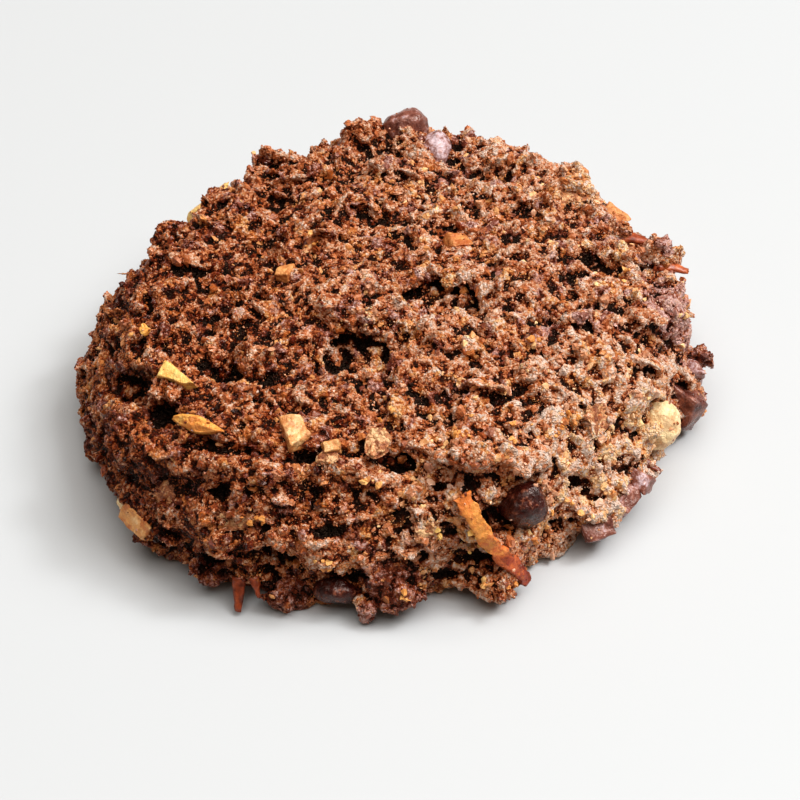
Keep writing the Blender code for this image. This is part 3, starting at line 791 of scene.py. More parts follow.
def make_dough(trees):
    """The dough: its core and the clods melted together, with an uneven face. Returns the clods too."""
    rng = np.random.default_rng(8)
    shape_rng = random.Random(21)
    core = dough_core()
    whole = bmesh.new()
    whole.from_mesh(core.data)
    middles, tones, kinds = [], [], []

    def above_foot(places, outs, _):
        return (places[:, 2] > CLOD_FOOT) & (outs[:, 2] > -WALL)

    for kind, (count, span, rarity, closeness, rise, spread) in CLODS.items():
        places, outs = surface_places(core.data, count, rng, above_foot)
        sizes = np.minimum(drawn_sizes(rng, len(places), span, rarity), clod_room(places, trees))
        kept = (sizes > SMALLEST_CLOD * span[0] * MM) & spaced(places, sizes, closeness)
        places, outs, sizes = places[kept], outs[kept], sizes[kept]
        places -= outs * (WALL_SINK * sizes * (outs[:, 2] < WALL))[:, None]
        clods = scatter("clods", crumb_shapes(kind, shape_rng), places, outs, sizes, rise, rng, spread)
        whole.from_mesh(clods.data)
        bpy.data.objects.remove(clods)
        middles.append(places)
        # Each clod's tone is random, with painted light that makes it lighter towards the light on the right
        # and darker to the left
        tones.append(rng.random(len(places)) + PAINTED_SIDE_LIGHT * places[:, 0] / solid_high[0])
        kinds.append(rng.random(len(places)) * (FLAKE_KINDS if kind == "flake" else 1.0))
    middles, tones, kinds = np.concatenate(middles), np.concatenate(tones), np.concatenate(kinds)
    # Painted light and shade over wide zones, and more golden clods in some of them
    for place, reach, tone, golden in LIGHT_AND_SHADE_ZONES:
        away = np.linalg.norm(middles - np.array(place) * MM, axis=1) / (reach * MM)
        inside = np.maximum(0, 1 - away ** 2)
        tones += tone * inside
        kinds *= 1 - golden * inside
    for place, reach, tone, kind in PATCHES:
        near = np.linalg.norm(middles - np.array(place) * MM, axis=1) < reach * MM
        tones[near] = (1 - PATCH_SHARE) * tones[near] + PATCH_SHARE * tone
        kinds[near] = kind
    bpy.data.objects.remove(core)
    piece = link("dough", whole)
    apply_modifier(piece, "REMESH", mode="VOXEL", voxel_size=DOUGH_VOXEL)
    largest_shell(piece.data)
    points, normals = grid_of(piece.data), normals_of(piece.data)
    for row in range(len(points)):
        out = crumb_height(Vector(points[row]))
        if points[row][2] < UNDERSIDE and normals[row][2] < -DOWNWARD:
            out = min(0.0, UNDERSIDE_CRUMB * out - UNDERSIDE_SINK)
        points[row] += normals[row] * out
    settle(points, trees)
    put_grid(piece.data, keep_inside(points))
    triangles = 2 * len(piece.data.polygons)
    apply_modifier(piece, "DECIMATE", ratio=DOUGH_TRIANGLES / triangles, use_collapse_triangulate=True)
    piece.data.shade_smooth()
    put_grid(piece.data, keep_inside(grid_of(piece.data)))
    # The hollows are kept for the paint, which darkens them as painted shade
    for name, rounds, reach in HOLLOWS:
        mark_hollows(piece.data, name, rounds, reach)
    tree = tree_of_places(middles)
    own = nearest_clods(tree, grid_of(piece.data))
    keep_value(piece.data, "tone", tones[own])
    keep_value(piece.data, "kind", kinds[own])
    # How far into a pit each point lies; the paint darkens the pits with it as painted shade
    keep_value(piece.data, "pit", in_pits(grid_of(piece.data)))
    return finish_piece(piece, dough_paint(), replaces=True), tree, tones, kinds


def nearest_clods(tree, points):
    """The number of the clod nearest to each point."""
    return [tree.find(point)[1] for point in points]


# What is baked into the dough. Places are on its surface, and every length is in millimetres

# Chips: place, half sizes across, up and out, tone from 0 to 1
CHIPS = [
    ((15.7, -29.4, 10.0), (2.6, 2.8, 2.5), 0.25),
    # The two chips at the back have a high tone for their painted highlight
    ((2.3, 31.6, 17.0), (3.0, 2.8, 2.8), 0.8),
    ((6.5, 26.2, 18.0), (1.7, 2.6, 1.9), 1.0),
    ((-6.1, -34.6, 3.2), (2.5, 1.7, 1.5), 0.3),
    ((19.6, 28.2, 8.4), (2.9, 2.9, 2.6), 0.5),
    ((-29.8, 17.0, 9.0), (2.9, 2.9, 2.6), 0.5),
    ((-9.6, 31.4, 6.4), (2.6, 2.6, 2.4), 0.5),
]
# Broken chocolate: place, full sizes across, up and out, turn in degrees, tone from 0 to 1
CHOCOLATE_CHUNKS = [
    ((36.4, -3.2, 5.6), (3.2, 4.4, 3.6), 24, 0.95),
    ((35.4, -7.4, 3.6), (3.8, 4.4, 3.6), -20, 0.7),
    ((23.4, -25.8, 2.2), (3.4, 2.4, 2.2), 10, 0.8),
    ((27.2, -22.2, 3.2), (3.4, 2.6, 2.2), 20, 0.8),
    ((29.2, -19.6, 4.6), (2.4, 2.4, 2.0), 50, 0.85),
]
# Chunks of nut, in the same form
NUT_CHUNKS = [
    ((-9.7, -23.8, 18.0), (3.2, 3.2, 2.0), 18, 0.55),
    ((-6.0, -26.0, 18.0), (1.8, 1.5, 1.6), 10, 0.4),
    ((7.9, 8.6, 18.0), (2.8, 2.4, 1.8), 20, 0.2),
    ((-27.4, -25.6, 4.6), (5.8, 2.2, 2.0), -4, 0.4),
    ((-30.2, -22.8, 5.6), (1.4, 1.6, 1.2), 0, 0.9),
    ((28.0, 21.0, 8.8), (3.6, 3.0, 2.6), 30, 0.3),
    ((-31.8, 6.4, 8.2), (3.6, 2.8, 2.6), 65, 0.4),
    ((-11.9, 1.5, 18.0), (2.6, 1.7, 1.8), 75, 0.3),
]
# Rounded nuts: place, half sizes across, up and out, how deep the middle lies, tone from 0 to 1
ROUND_NUTS = [
    ((34.0, -15.1, 7.4), (2.8, 3.3, 2.9), 0.8, 0.8),
]
# Slivers of almond: two ends, width, and whether it is cut square at its first end
SLIVERS = [
    ((-24.8, -13.8, 18.0), (-21.0, -17.2, 18.0), 1.6, True),
    ((-24.2, -20.6, 17.6), (-17.6, -24.0, 18.2), 1.7, False),
    ((-28.6, -7.2, 18.0), (-26.6, -8.2, 18.0), 1.3, False),
    ((8.0, 32.6, 12.0), (13.0, 30.4, 9.6), 1.8, False),
    ((-24.6, 20.6, 9.6), (-20.0, 24.4, 12.4), 1.8, True),
]
SLIVER_THICKNESS = 1.3
SLIVER_TILT = 18
SLIVER_TONE = 0.5
SQUARE_TONE = 0.75
# The toasted strip of coconut that runs down the front
COCONUT_ROUTE = [
    (7.6, -30.6, 14.7),
    (8.8, -31.6, 12.2),
    (10.4, -32.2, 9.6),
    (12.7, -32.1, 5.8),
    (14.8, -31.4, 1.6),
]
COCONUT_WIDTH = 1.9
COCONUT_THICKNESS = 0.8
COCONUT_CUTS = 60
# Thin red-brown shards at the rim: foot, point, width at the foot, tone from 0 to 1
SHARDS = [
    ((-16.2, -32.4, 2.8), (-16.3, -34.3, 0.6), 1.9, 0.4),
    ((-14.4, -32.8, 3.6), (-13.9, -34.0, 2.4), 1.2, 0.4),
    ((36.0, -1.4, 5.6), (38.5, 0.2, 5.9), 1.3, 0.1),
    ((32.6, 6.2, 14.4), (35.6, 5.6, 14.0), 2.8, 0.6),
    ((28.6, 9.8, 15.8), (31.2, 8.8, 15.8), 2.6, 0.5),
    ((29.0, -17.6, 5.8), (30.6, -18.7, 5.2), 1.5, 0.3),
]
FLAKE_THICKNESS = 0.5
FLAKE_DEPTH = 0.3
FLAKE_BEND = 0.12  # as a share of the length; each third flake bends the other way
# Oat flakes that show whole: place, length, width, turn in degrees, tone from 0 to 1
OAT_FLAKES = [
    ((-24.8, -27.0, 10.2), 4.6, 3.0, 96, 0.35),
    ((3.8, -34.1, 12.0), 3.4, 2.4, 30, 0.75),
    ((-1.0, -25.1, 18.0), 3.0, 2.4, 70, 0.8),
    ((-5.7, -28.7, 17.6), 2.1, 1.6, 10, 0.9),
    ((-16.5, -30.6, 11.0), 3.4, 2.6, 40, 0.6),
    ((24.6, -18.4, 14.6), 4.2, 3.2, -20, 0.6),
    ((22.8, 16.6, 17.4), 5.0, 4.0, 35, 0.7),
    ((-9.2, 7.2, 18.0), 3.0, 1.8, 60, 0.7),
]


def join_pieces(name, parts):
    """One object of several small shapes, each given as a bmesh and a tone."""
    whole = bmesh.new()
    tones = []
    for bm, tone in parts:
        tones += [tone] * len(bm.verts)
        mesh = bpy.data.meshes.new("part")
        bm.to_mesh(mesh)
        bm.free()
        whole.from_mesh(mesh)
        bpy.data.meshes.remove(mesh)
    piece = link(name, whole)
    keep_value(piece.data, "tone", tones)
    put_grid(piece.data, keep_inside(grid_of(piece.data)))
    return piece


def seated(bm, place, depth, turn=0.0):
    """Puts a shape on the solid, its middle a depth below the surface and its Z pointing out."""
    near, out = seat(place)
    matrix = Matrix.Translation(near - out * depth) @ facing(out, math.radians(turn))
    bmesh.ops.transform(bm, matrix=matrix, verts=bm.verts)
    return bm


def chip_shape(sizes, offset):
    """A chocolate drop: an uneven round, wrinkled from its tip down."""
    bm = bmesh.new()
    bmesh.ops.create_icosphere(bm, subdivisions=5, radius=1, matrix=Matrix.Diagonal((*sizes, 1)))
    roughen(bm, 2.6 * MM, 0.5 * MM, 20 + offset)
    roughen(bm, 1.0 * MM, 0.16 * MM, 40 + offset)
    for vert in bm.verts:
        wrinkle = noise.noise(Vector((vert.co.x / (0.5 * MM), vert.co.y / (2.5 * MM), offset)))
        vert.co *= 1 + 0.03 * wrinkle
    return bm


EVERY_AXIS = {"use_axis_x": True, "use_axis_y": True, "use_axis_z": True}


def chunk_shape(sizes, offset, rounding):
    """A broken chunk: a block with its corners pulled about, its edges worn and a fine grain."""
    rng = random.Random(offset)
    bm = bmesh.new()
    bmesh.ops.create_cube(bm, size=1)
    for vert in bm.verts:
        vert.co += Vector((rng.uniform(-0.24, 0.16) for _ in range(3))) * (1 if vert.co.x > 0 else -1)
    bmesh.ops.transform(bm, matrix=Matrix.Diagonal((*sizes, 1)), verts=bm.verts)
    edge = 0.14 * min(sizes)
    bmesh.ops.bevel(bm, geom=bm.edges[:], offset=edge, affect="EDGES", segments=2, profile=0.5, material=-1)
    bmesh.ops.subdivide_edges(bm, edges=bm.edges[:], cuts=6, use_grid_fill=True)
    for _ in range(rounding):
        bmesh.ops.smooth_vert(bm, verts=bm.verts, factor=0.5, **EVERY_AXIS)
    roughen(bm, 1.6 * MM, 0.3 * MM, offset)
    roughen(bm, 0.6 * MM, 0.12 * MM, offset + 3)
    return bm


def flake_shape(length, width, thickness, offset, bend=0.0, pointed=0.0, uneven=0.34):
    """A flake or sliver: a ball pulled about, pressed flat, bent along its length and wrinkled."""
    bm = bmesh.new()
    bmesh.ops.create_icosphere(bm, subdivisions=4, radius=0.5)
    shift = Vector((offset * 3.7, offset, 0))
    for vert in bm.verts:
        vert.co += noise.noise_vector(vert.co * 2 + shift) * uneven
        along = min(1.0, abs(2 * vert.co.x))
        across = 1 - pointed * along ** 1.4
        rise = thickness * vert.co.z + bend * along ** 2 * length
        rise += 0.2 * MM * noise.noise(vert.co * 5 + shift)
        vert.co = Vector((length * vert.co.x, width * vert.co.y * across, rise))
    return bm


def shard_shape(foot, point, width):
    """A thin pointed shard, from inside the dough out to its point."""
    bm = bmesh.new()
    run = point - foot
    bmesh.ops.create_cone(bm, cap_ends=True, segments=10, radius1=width / 2, radius2=0.16 * width, depth=1)
    upright = [e for e in bm.edges if abs(e.verts[0].co.z - e.verts[1].co.z) > 0.5]
    bmesh.ops.subdivide_edges(bm, edges=upright, cuts=7)
    bmesh.ops.transform(bm, matrix=Matrix.Diagonal((1, 0.5, 1.3 * run.length, 1)), verts=bm.verts)
    for vert in bm.verts:
        spot = vert.co / (0.9 * MM) + Vector((foot.x / MM, 0, 0))
        vert.co += noise.noise_vector(spot) * 0.22 * MM
    turned = run.to_track_quat("Z", "Y").to_matrix().to_4x4()
    bmesh.ops.transform(bm, matrix=Matrix.Translation(foot + run * 0.34) @ turned, verts=bm.verts)
    return bm


def wedge_shape(length, width, thickness, offset):
    """A sliver cut square at one end and tapered to the other."""
    bm = chunk_shape((length, width, thickness), offset, rounding=3)
    for vert in bm.verts:
        vert.co.y *= 1.2 - 0.8 * (vert.co.x / length + 0.5)
    return bm


def sliver_shape(start, end, width, square, offset):
    """A sliver of almond laid between two places of the surface, just proud of it."""
    first, _ = seat(start)
    last, _ = seat(end)
    middle = (first + last) / 2
    _, out = seat(middle)
    heading = (last - first).normalized()
    side = out.cross(heading).normalized()
    turned = Matrix((heading, side, heading.cross(side))).transposed().to_4x4()
    length = 1.1 * (last - first).length
    if square:
        bm = wedge_shape(length, 1.1 * width, SLIVER_THICKNESS * MM, offset)
    else:
        bm = flake_shape(length, 1.15 * width, SLIVER_THICKNESS * MM, offset, pointed=0.6, uneven=0.12)
    matrix = Matrix.Translation(middle) @ turned @ Matrix.Rotation(math.radians(SLIVER_TILT), 4, "X")
    bmesh.ops.transform(bm, matrix=matrix, verts=bm.verts)
    return bm


def make_chocolate():
    """The whole chips and the broken chocolate."""
    parts = []
    for count, (place, sizes, tone) in enumerate(CHIPS):
        half = [s * MM for s in sizes]
        parts.append((seated(chip_shape(half, count), millimetres(*place), half[2] - 0.1 * MM), tone))
    for count, (place, sizes, turn, tone) in enumerate(CHOCOLATE_CHUNKS):
        full = [s * MM for s in sizes]
        bm = chunk_shape(full, count + 7, rounding=4)
        parts.append((seated(bm, millimetres(*place), 0.4 * full[2], turn), tone))
    return finish_piece(join_pieces("chocolate_pieces", parts), chocolate_paint())


def make_nuts():
    """The chunks of nut."""
    parts = []
    for count, (place, sizes, turn, tone) in enumerate(NUT_CHUNKS):
        full = [s * MM for s in sizes]
        bm = chunk_shape(full, count + 40, rounding=14)
        parts.append((seated(bm, millimetres(*place), 0.49 * full[2], turn), tone))
    for count, (place, sizes, depth, tone) in enumerate(ROUND_NUTS):
        half = [s * MM for s in sizes]
        parts.append((seated(chip_shape(half, count + 60), millimetres(*place), depth * MM), tone))
    paint = nut_paint("nut", srgb(184, 98, 46), srgb(224, 162, 100), srgb(255, 226, 176))
    return finish_piece(join_pieces("nut_chunks", parts), paint)


def make_slivers():
    """The slivers of almond."""
    parts = []
    for count, (start, end, width, square) in enumerate(SLIVERS):
        bm = sliver_shape(millimetres(*start), millimetres(*end), width * MM, square, count)
        parts.append((bm, SQUARE_TONE if square else SLIVER_TONE))
    paint = nut_paint("almond", srgb(200, 100, 38), srgb(244, 172, 84), srgb(255, 216, 134))
    return finish_piece(join_pieces("almond_slivers", parts), paint)


def make_oat_flakes():
    """The oat flakes that show whole."""
    parts = []
    for count, (place, length, width, turn, tone) in enumerate(OAT_FLAKES):
        bend = FLAKE_BEND if count % 3 else -FLAKE_BEND
        bm = flake_shape(length * MM, width * MM, FLAKE_THICKNESS * MM, count + 11, bend=bend)
        parts.append((seated(bm, millimetres(*place), FLAKE_DEPTH * MM, turn), tone))
    return finish_piece(join_pieces("oat_flakes", parts), oat_paint("oat_flake"))


def make_shards():
    """The thin shards at the rim."""
    parts = []
    for foot, point, width, tone in SHARDS:
        parts.append((shard_shape(millimetres(*foot), millimetres(*point), width * MM), tone))
    return finish_piece(join_pieces("toffee_shards", parts), shard_paint())


def make_coconut():
    """The strip of coconut: a bar cut into short lengths, laid along its route on the dough."""
    bm = bmesh.new()
    bmesh.ops.create_cube(bm, size=1)
    along = [e for e in bm.edges if abs(e.verts[0].co.x - e.verts[1].co.x) > 0.5]
    bmesh.ops.bevel(bm, geom=along, offset=0.2, affect="EDGES", segments=3, profile=0.5, material=-1)
    across = [e for e in bm.edges if abs(e.verts[0].co.x - e.verts[1].co.x) > 0.5]
    bmesh.ops.subdivide_edges(bm, edges=across, cuts=COCONUT_CUTS)
    stops = [millimetres(*stop) for stop in COCONUT_ROUTE]
    shares = []
    for vert in bm.verts:
        share = vert.co.x + 0.5
        shares.append(share)
        place = share * (len(stops) - 1)
        first = min(int(place), len(stops) - 2)
        on_route = stops[first].lerp(stops[first + 1], place - first)
        near, out = seat(on_route, 3.5 * MM)
        heading = (stops[first + 1] - stops[first]).normalized()
        side = out.cross(heading).normalized()
        spot = on_route / (1.3 * MM)
        width = COCONUT_WIDTH * MM * (1 + 0.3 * noise.noise(spot) - 0.45 * share ** 6)
        wander = 0.35 * MM * noise.noise(spot * 0.8 + Vector((4, 0, 0)))
        ragged = 1 + 0.22 * noise.noise(on_route / (0.45 * MM) + Vector((0, 6 * vert.co.y, 0)))
        middle = on_route.lerp(near, 0.35) + out * 0.1 * MM + side * wander
        rise = COCONUT_THICKNESS * MM * vert.co.z + 0.3 * MM * noise.noise(vert.co * 5 + spot * 1.5)
        vert.co = middle + side * vert.co.y * width * ragged + out * rise
    piece = link("coconut_strip", bm)
    keep_value(piece.data, "along", shares)
    put_grid(piece.data, keep_inside(grid_of(piece.data)))
    return finish_piece(piece, coconut_paint())


# Loose crumbs


# Forms of crumb: segments and rings of the ball it starts from, its share of length, width and height,
# and how uneven it is
CRUMB_FORMS = {
    "speck": ((4, 2), (1, 0.9, 0.8), 0.26),
    "grain": ((5, 3), (1, 0.85, 0.7), 0.34),
    "round": ((6, 5), (1, 0.8, 0.6), 0.36),
    "lump": ((16, 12), (1, 0.85, 0.7), 0.46),
    "flake": ((16, 12), (1, 0.8, 0.2), 0.4),
    "fibre": ((16, 12), (1, 0.16, 0.14), 0.3),
}
# Bright crumbs in clusters: place, reach, how many, tone from tan at 0 to yellow at 1
CLUSTERS = [
    ((5.9, -33.6, 11.0), 0.7, 7, 0.95),
    ((9.4, -32.6, 10.8), 0.8, 9, 1.0),
    ((9.6, -33.4, 7.4), 0.5, 6, 0.9),
    ((9.0, -33.8, 4.6), 0.5, 5, 0.7),
    ((7.6, -24.6, 18.0), 1.3, 12, 0.45),
    ((13.8, -23.0, 18.0), 1.0, 8, 0.5),
    ((-2.2, -30.2, 15.6), 0.8, 7, 0.6),
    ((-13.8, -31.8, 11.6), 1.0, 8, 0.35),
    ((-6.6, -34.0, 8.0), 0.7, 6, 0.5),
    ((-0.8, -22.4, 18.0), 1.1, 8, 0.5),
    ((20.4, -21.6, 15.4), 1.4, 9, 0.4),
    ((20.0, -27.6, 7.0), 1.2, 10, 0.6),
    ((16.2, -10.8, 18.0), 0.9, 6, 0.3),
    ((-8.9, 7.6, 18.0), 0.8, 6, 0.5),
    ((-27.8, -7.8, 18.0), 0.8, 6, 0.6),
    ((27.4, 2.2, 17.0), 1.0, 7, 0.5),
    ((1.4, -36.2, 4.0), 0.6, 5, 0.5),
    ((12.8, -33.2, 2.4), 0.9, 8, 0.3),
    ((16.8, -29.8, 8.8), 1.3, 16, 0.2),
    ((15.3, -31.2, 10.6), 0.2, 2, 0.5),
]
BRIGHT_CRUMBS = ((0.35, 0.95), 1.5)  # the span of their sizes in millimetres, and how rare the large ones are
BRIGHTS = [
    (0.15, srgb(176, 92, 38)),
    (0.5, srgb(226, 152, 78)),
    (0.8, srgb(238, 190, 124)),
    (1, srgb(244, 198, 116)),
]
GOLDS = [(0.1, srgb(150, 84, 44)), (0.5, srgb(208, 142, 84)), (0.9, srgb(246, 208, 152))]
SUGARS = [(0.1, srgb(170, 104, 66)), (0.5, srgb(212, 156, 116)), (0.9, srgb(246, 210, 180))]
# Crumbs all over: name, form, how many, span of sizes in millimetres, rise as a share of the size, paint
# and what it takes, slot
CRUMBS = [
    ("crumb_specks", "speck", 24500, (0.14, 0.42), 0.05, crumb_paint, 0.02, "baked_dough"),
    ("crumb_dust", "speck", 24500, (0.1, 0.3), 0.1, crumb_paint, 0.06, "baked_dough"),
    ("crumb_grains", "grain", 8000, (0.26, 0.6), -0.05, crumb_paint, 0.0, "baked_dough"),
    ("crumb_lumps", "round", 3600, (0.5, 1.3), -0.14, crumb_paint, -0.04, "baked_dough"),
    ("sugar_specks", "speck", 4000, (0.12, 0.3), 0.1, pale_paint, SUGARS, "oat"),
    ("golden_bits", "round", 700, (0.35, 1.1), -0.12, pale_paint, GOLDS, "oat"),
]
CRUMB_RARITY = 2.2  # how rare the large ones are
CRUMB_FOOT = 0.6 * MM  # no crumb lies lower than this, nor deeper in a hollow or a pit than these shares
CRUMB_HOLLOW = 0.86
CRUMB_PIT = 0.6
DUST = 0.6  # crumbs on each square millimetre of what is baked in
DUST_CRUMBS = ((0.12, 0.52), 2)  # the span of their sizes in millimetres, and how rare the large ones are
DUST_SWELL = 1.8 * MM  # the dust lies in patches of about this size
DUST_LEVEL = 0.05


def drawn_sizes(rng, count, span, rarity):
    """Sizes in metres, drawn from a span in millimetres so that large ones are rare."""
    small, large = span
    return (small + (large - small) * rng.random(count) ** rarity) * MM


def crumb_shapes(kind, rng, count=6):
    """A few small irregular shapes of about unit size."""
    (segments, rings), shares, uneven = CRUMB_FORMS[kind]
    shapes = []
    for _ in range(count):
        bm = bmesh.new()
        bmesh.ops.create_uvsphere(bm, u_segments=segments, v_segments=rings, radius=0.5)
        bmesh.ops.triangulate(bm, faces=bm.faces[:])
        offset = Vector((rng.uniform(-50, 50), rng.uniform(-50, 50), rng.uniform(-50, 50)))
        bend = rng.uniform(-0.5, 0.5)
        for vert in bm.verts:
            vert.co += noise.noise_vector(vert.co * 2.4 + offset) * uneven
            vert.co = Vector(c * s for c, s in zip(vert.co, shares))
            vert.co.z += bend * (vert.co.x ** 2 - 0.1)
        bm.verts.index_update()
        shapes.append((
            np.array([v.co for v in bm.verts]),
            np.array([[v.index for v in f.verts] for f in bm.faces]),
        ))
        bm.free()
    return shapes


def surface_places(mesh, count, rng, choose):
    """Random places spread evenly over the area of a mesh, kept where choose says so, with the way out."""
    mesh.calc_loop_triangles()
    corners = np.empty(len(mesh.loop_triangles) * 3, np.int64)
    mesh.loop_triangles.foreach_get("vertices", corners)
    corners = corners.reshape(-1, 3)
    points = grid_of(mesh)
    first, second, third = (points[corners[:, k]] for k in range(3))
    cross = np.cross(second - first, third - first)
    area = np.linalg.norm(cross, axis=1)
    picked = rng.choice(len(area), size=count * 3, p=area / area.sum())
    u, v = rng.random((2, len(picked)))
    over = u + v > 1
    u[over], v[over] = 1 - u[over], 1 - v[over]
    places = first[picked] + (second - first)[picked] * u[:, None] + (third - first)[picked] * v[:, None]
    outs = cross[picked] / np.maximum(area[picked], 1e-20)[:, None]
    kept = choose(places, outs, corners[picked][:, 0])
    return places[kept][:count], outs[kept][:count]


def random_turns(outs, spread, rng):
    """Rotations that lay a shape's Z along the way out, give or take a spread, with any turn about it."""
    z_axes = outs + spread * rng.normal(size=outs.shape)
    z_axes /= np.linalg.norm(z_axes, axis=1)[:, None]
    x_axes = np.cross(z_axes, rng.normal(size=outs.shape))
    x_axes /= np.linalg.norm(x_axes, axis=1)[:, None]
    return np.stack([x_axes, np.cross(z_axes, x_axes), z_axes], axis=2)


STRETCH = 0.3  # how much the copies of a shape differ in length, width and height


def scatter(name, shapes, places, outs, sizes, rise, rng, spread=3.0, tones=None, kinds=None):
    """One mesh of many copies of a few shapes, each turned and sized at random, a rise above its place."""
    turns = random_turns(outs, spread, rng)
    stretches = 1 + rng.uniform(-STRETCH, STRETCH, (len(places), 3))
    forms = rng.integers(0, len(shapes), len(places))
    all_points, all_faces, all_rows = [], [], []
    start = 0
    for form, (points, faces) in enumerate(shapes):
        chosen = np.nonzero(forms == form)[0]
        local = points[None] * (stretches[chosen] * sizes[chosen, None])[:, None, :]
        placed = np.einsum("nij,nkj->nki", turns[chosen], local)
        placed += (places[chosen] + outs[chosen] * (rise * sizes[chosen])[:, None])[:, None, :]
        offsets = start + np.arange(len(chosen))[:, None, None] * len(points)
        all_points.append(placed.reshape(-1, 3))
        all_faces.append((faces[None] + offsets).reshape(-1, 3))
        all_rows.append(np.repeat(chosen, len(points)))
        start += len(chosen) * len(points)
    mesh = bpy.data.meshes.new(name)
    mesh.from_pydata(keep_inside(np.concatenate(all_points)), [], np.concatenate(all_faces))
    rows = np.concatenate(all_rows)
    if tones is not None:
        keep_value(mesh, "tone", tones[rows])
        keep_value(mesh, "kind", kinds[rows])
    piece = bpy.data.objects.new(name, mesh)
    bpy.context.scene.collection.objects.link(piece)
    return piece


def make_crumbs(dough, tree, clod_tones, clod_kinds):
    """Crumbs of dough, sugar, oat and nut all over the top and the side."""
    rng = np.random.default_rng(12)
    shape_rng = random.Random(5)
    hollows = np.empty(len(dough.data.vertices), np.float32)
    dough.data.attributes["wide_hollow"].data.foreach_get("value", hollows)

    def open_place(places, outs, verts):
        low, deep = places[:, 2] <= CRUMB_FOOT, hollows[verts] >= CRUMB_HOLLOW
        return ~(low | deep | (in_pits(places) >= CRUMB_PIT))

    for name, kind, count, span, rise, paint, finish, slot in CRUMBS:
        places, outs = surface_places(dough.data, count, rng, open_place)
        sizes = drawn_sizes(rng, len(places), span, CRUMB_RARITY)
        own = nearest_clods(tree, places)
        # Crumbs take half of their clod's tone, and with it its painted light and shade
        tones = 0.5 * clod_tones[own] + 0.5 * rng.random(len(places))
        shapes = crumb_shapes(kind, shape_rng)
        piece = scatter(name, shapes, places, outs, sizes, rise, rng, tones=tones, kinds=clod_kinds[own])
        finish_piece(piece, paint(name, finish))


def make_clusters(dough):
    """Bright crumbs, close together in a few places."""
    rng = np.random.default_rng(31)
    tree = tree_of(dough)
    places, outs, tones = [], [], []
    for place, reach, count, tone in CLUSTERS:
        for shift in rng.normal(size=(count, 3)) * reach * MM * 0.6:
            near, out, _, _ = tree.find_nearest(millimetres(*place) + Vector(shift))
            places.append(near)
            outs.append(out)
            tones.append(tone + 0.2 * rng.random())
    sizes = drawn_sizes(rng, len(places), *BRIGHT_CRUMBS)
    shapes = crumb_shapes("round", random.Random(17))
    places, outs, tones = np.array(places), np.array(outs), np.array(tones)
    piece = scatter("bright_crumbs", shapes, places, outs, sizes, 0.1, rng, tones=tones, kinds=tones)
    finish_piece(piece, pale_paint("bright_crumbs", BRIGHTS))


def make_dust(baked_in):
    """Crumbs of dough that cling to what is baked in."""
    rng = np.random.default_rng(44)
    found = []
    for piece in baked_in:
        area = sum(face.area for face in piece.data.polygons) / MM ** 2
        found.append(surface_places(piece.data, int(DUST * area), rng, lambda p, o, v: p[:, 2] > 0))
    places, outs = (np.concatenate([pair[k] for pair in found]) for k in (0, 1))
    kept = [noise.noise(Vector(place) / DUST_SWELL) > DUST_LEVEL for place in places]
    places, outs = places[kept], outs[kept]
    sizes = drawn_sizes(rng, len(places), *DUST_CRUMBS)
    tones, kinds = rng.random((2, len(places)))
    piece = scatter("clinging_crumbs", crumb_shapes("grain", random.Random(9)), places, outs, sizes, 0.0, rng,
                    tones=tones, kinds=kinds)
    finish_piece(piece, crumb_paint("clinging_crumbs", 0.0))


# The floor, the light and the camera


FLOOR_HALF_SIZE = 3
FLOOR_COLOUR = srgb(193, 194, 195)
ROOM_COLOUR = (1, 0.89, 0.72, 1)
ROOM_STRENGTH = 0.13
# Square soft lights: bearing from +X and elevation in degrees, distance and size in metres, power in watts,
# colour
LIGHTS = {
    "window": (6, 54, 1.5, 0.8, 17.0, (0.97, 0.99, 1)),
    "pane": (14, 50, 1.5, 0.25, 6.5, (0.97, 0.99, 1)),
    "ceiling": (0, 88, 0.9, 1.1, 9.6, (1, 0.985, 0.965)),
}


def make_floor():
    """A wide pale floor."""
    bm = bmesh.new()
    bmesh.ops.create_grid(bm, x_segments=1, y_segments=1, size=FLOOR_HALF_SIZE)
    floor = link("floor", bm)
    floor.data.materials.append(Paint("floor").finish(Base_Color=FLOOR_COLOUR, Roughness=0.6))


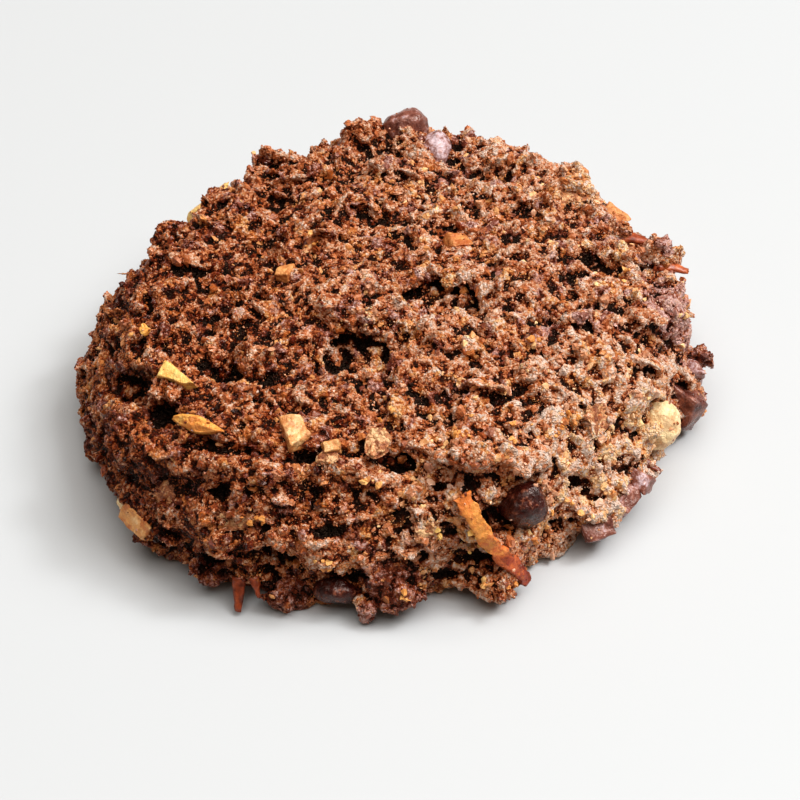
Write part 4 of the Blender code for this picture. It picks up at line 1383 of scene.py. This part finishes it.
def make_light(name, bearing, elevation, distance, size, power, colour):
    """A square soft light that faces the cookie."""
    turn, rise = math.radians(bearing), math.radians(elevation)
    way = Vector((math.cos(turn) * math.cos(rise), math.sin(turn) * math.cos(rise), math.sin(rise)))
    light = bpy.data.lights.new(name, "AREA")
    light.size = size
    light.energy = power
    light.color = colour
    lamp = bpy.data.objects.new(name, light)
    lamp.location = MIDDLE + way * distance
    lamp.rotation_mode = "QUATERNION"
    lamp.rotation_quaternion = way.to_track_quat("Z", "Y")
    bpy.context.scene.collection.objects.link(lamp)


def make_world():
    """The pale light of the room."""
    world = bpy.data.worlds.new("room")
    world.use_nodes = True
    background = world.node_tree.nodes["Background"]
    background.inputs["Color"].default_value = ROOM_COLOUR
    background.inputs["Strength"].default_value = ROOM_STRENGTH
    bpy.context.scene.world = world


def make_camera():
    """The camera of the photograph: its place, and its aim to one side of the middle."""
    data = bpy.data.cameras.new("camera")
    data.sensor_width = SENSOR
    data.lens = SENSOR * PHOTO_FOCUS / PHOTO_SIZE
    camera = bpy.data.objects.new("camera", data)
    back = Vector((0, -math.cos(CAMERA_ELEVATION), math.sin(CAMERA_ELEVATION)))
    up = Vector((0, math.sin(CAMERA_ELEVATION), math.cos(CAMERA_ELEVATION)))
    centre = PHOTO_SIZE / 2
    per_pixel = CAMERA_DISTANCE / PHOTO_FOCUS
    aim = MIDDLE + Vector((1, 0, 0)) * (centre - PHOTO_MIDDLE[0]) * per_pixel
    aim -= up * (centre - PHOTO_MIDDLE[1]) * per_pixel
    camera.location = MIDDLE + back * CAMERA_DISTANCE
    camera.rotation_mode = "QUATERNION"
    camera.rotation_quaternion = (aim - camera.location).to_track_quat("-Z", "Y")
    data.clip_start = 0.01
    bpy.context.scene.collection.objects.link(camera)
    bpy.context.scene.camera = camera


make_camera()
make_floor()
make_world()
for name, values in LIGHTS.items():
    make_light(name, *values)
bpy.context.scene.view_settings.view_transform = "Standard"
bpy.context.scene.view_settings.look = "Medium High Contrast"
bpy.context.scene.view_settings.exposure = EXPOSURE

baked_in = [make_chocolate(), make_nuts(), make_slivers(), make_oat_flakes(), make_shards(), make_coconut()]
dough, *clods = make_dough([tree_of(piece) for piece in baked_in])
make_crumbs(dough, *clods)
make_clusters(dough)
make_dust(baked_in)
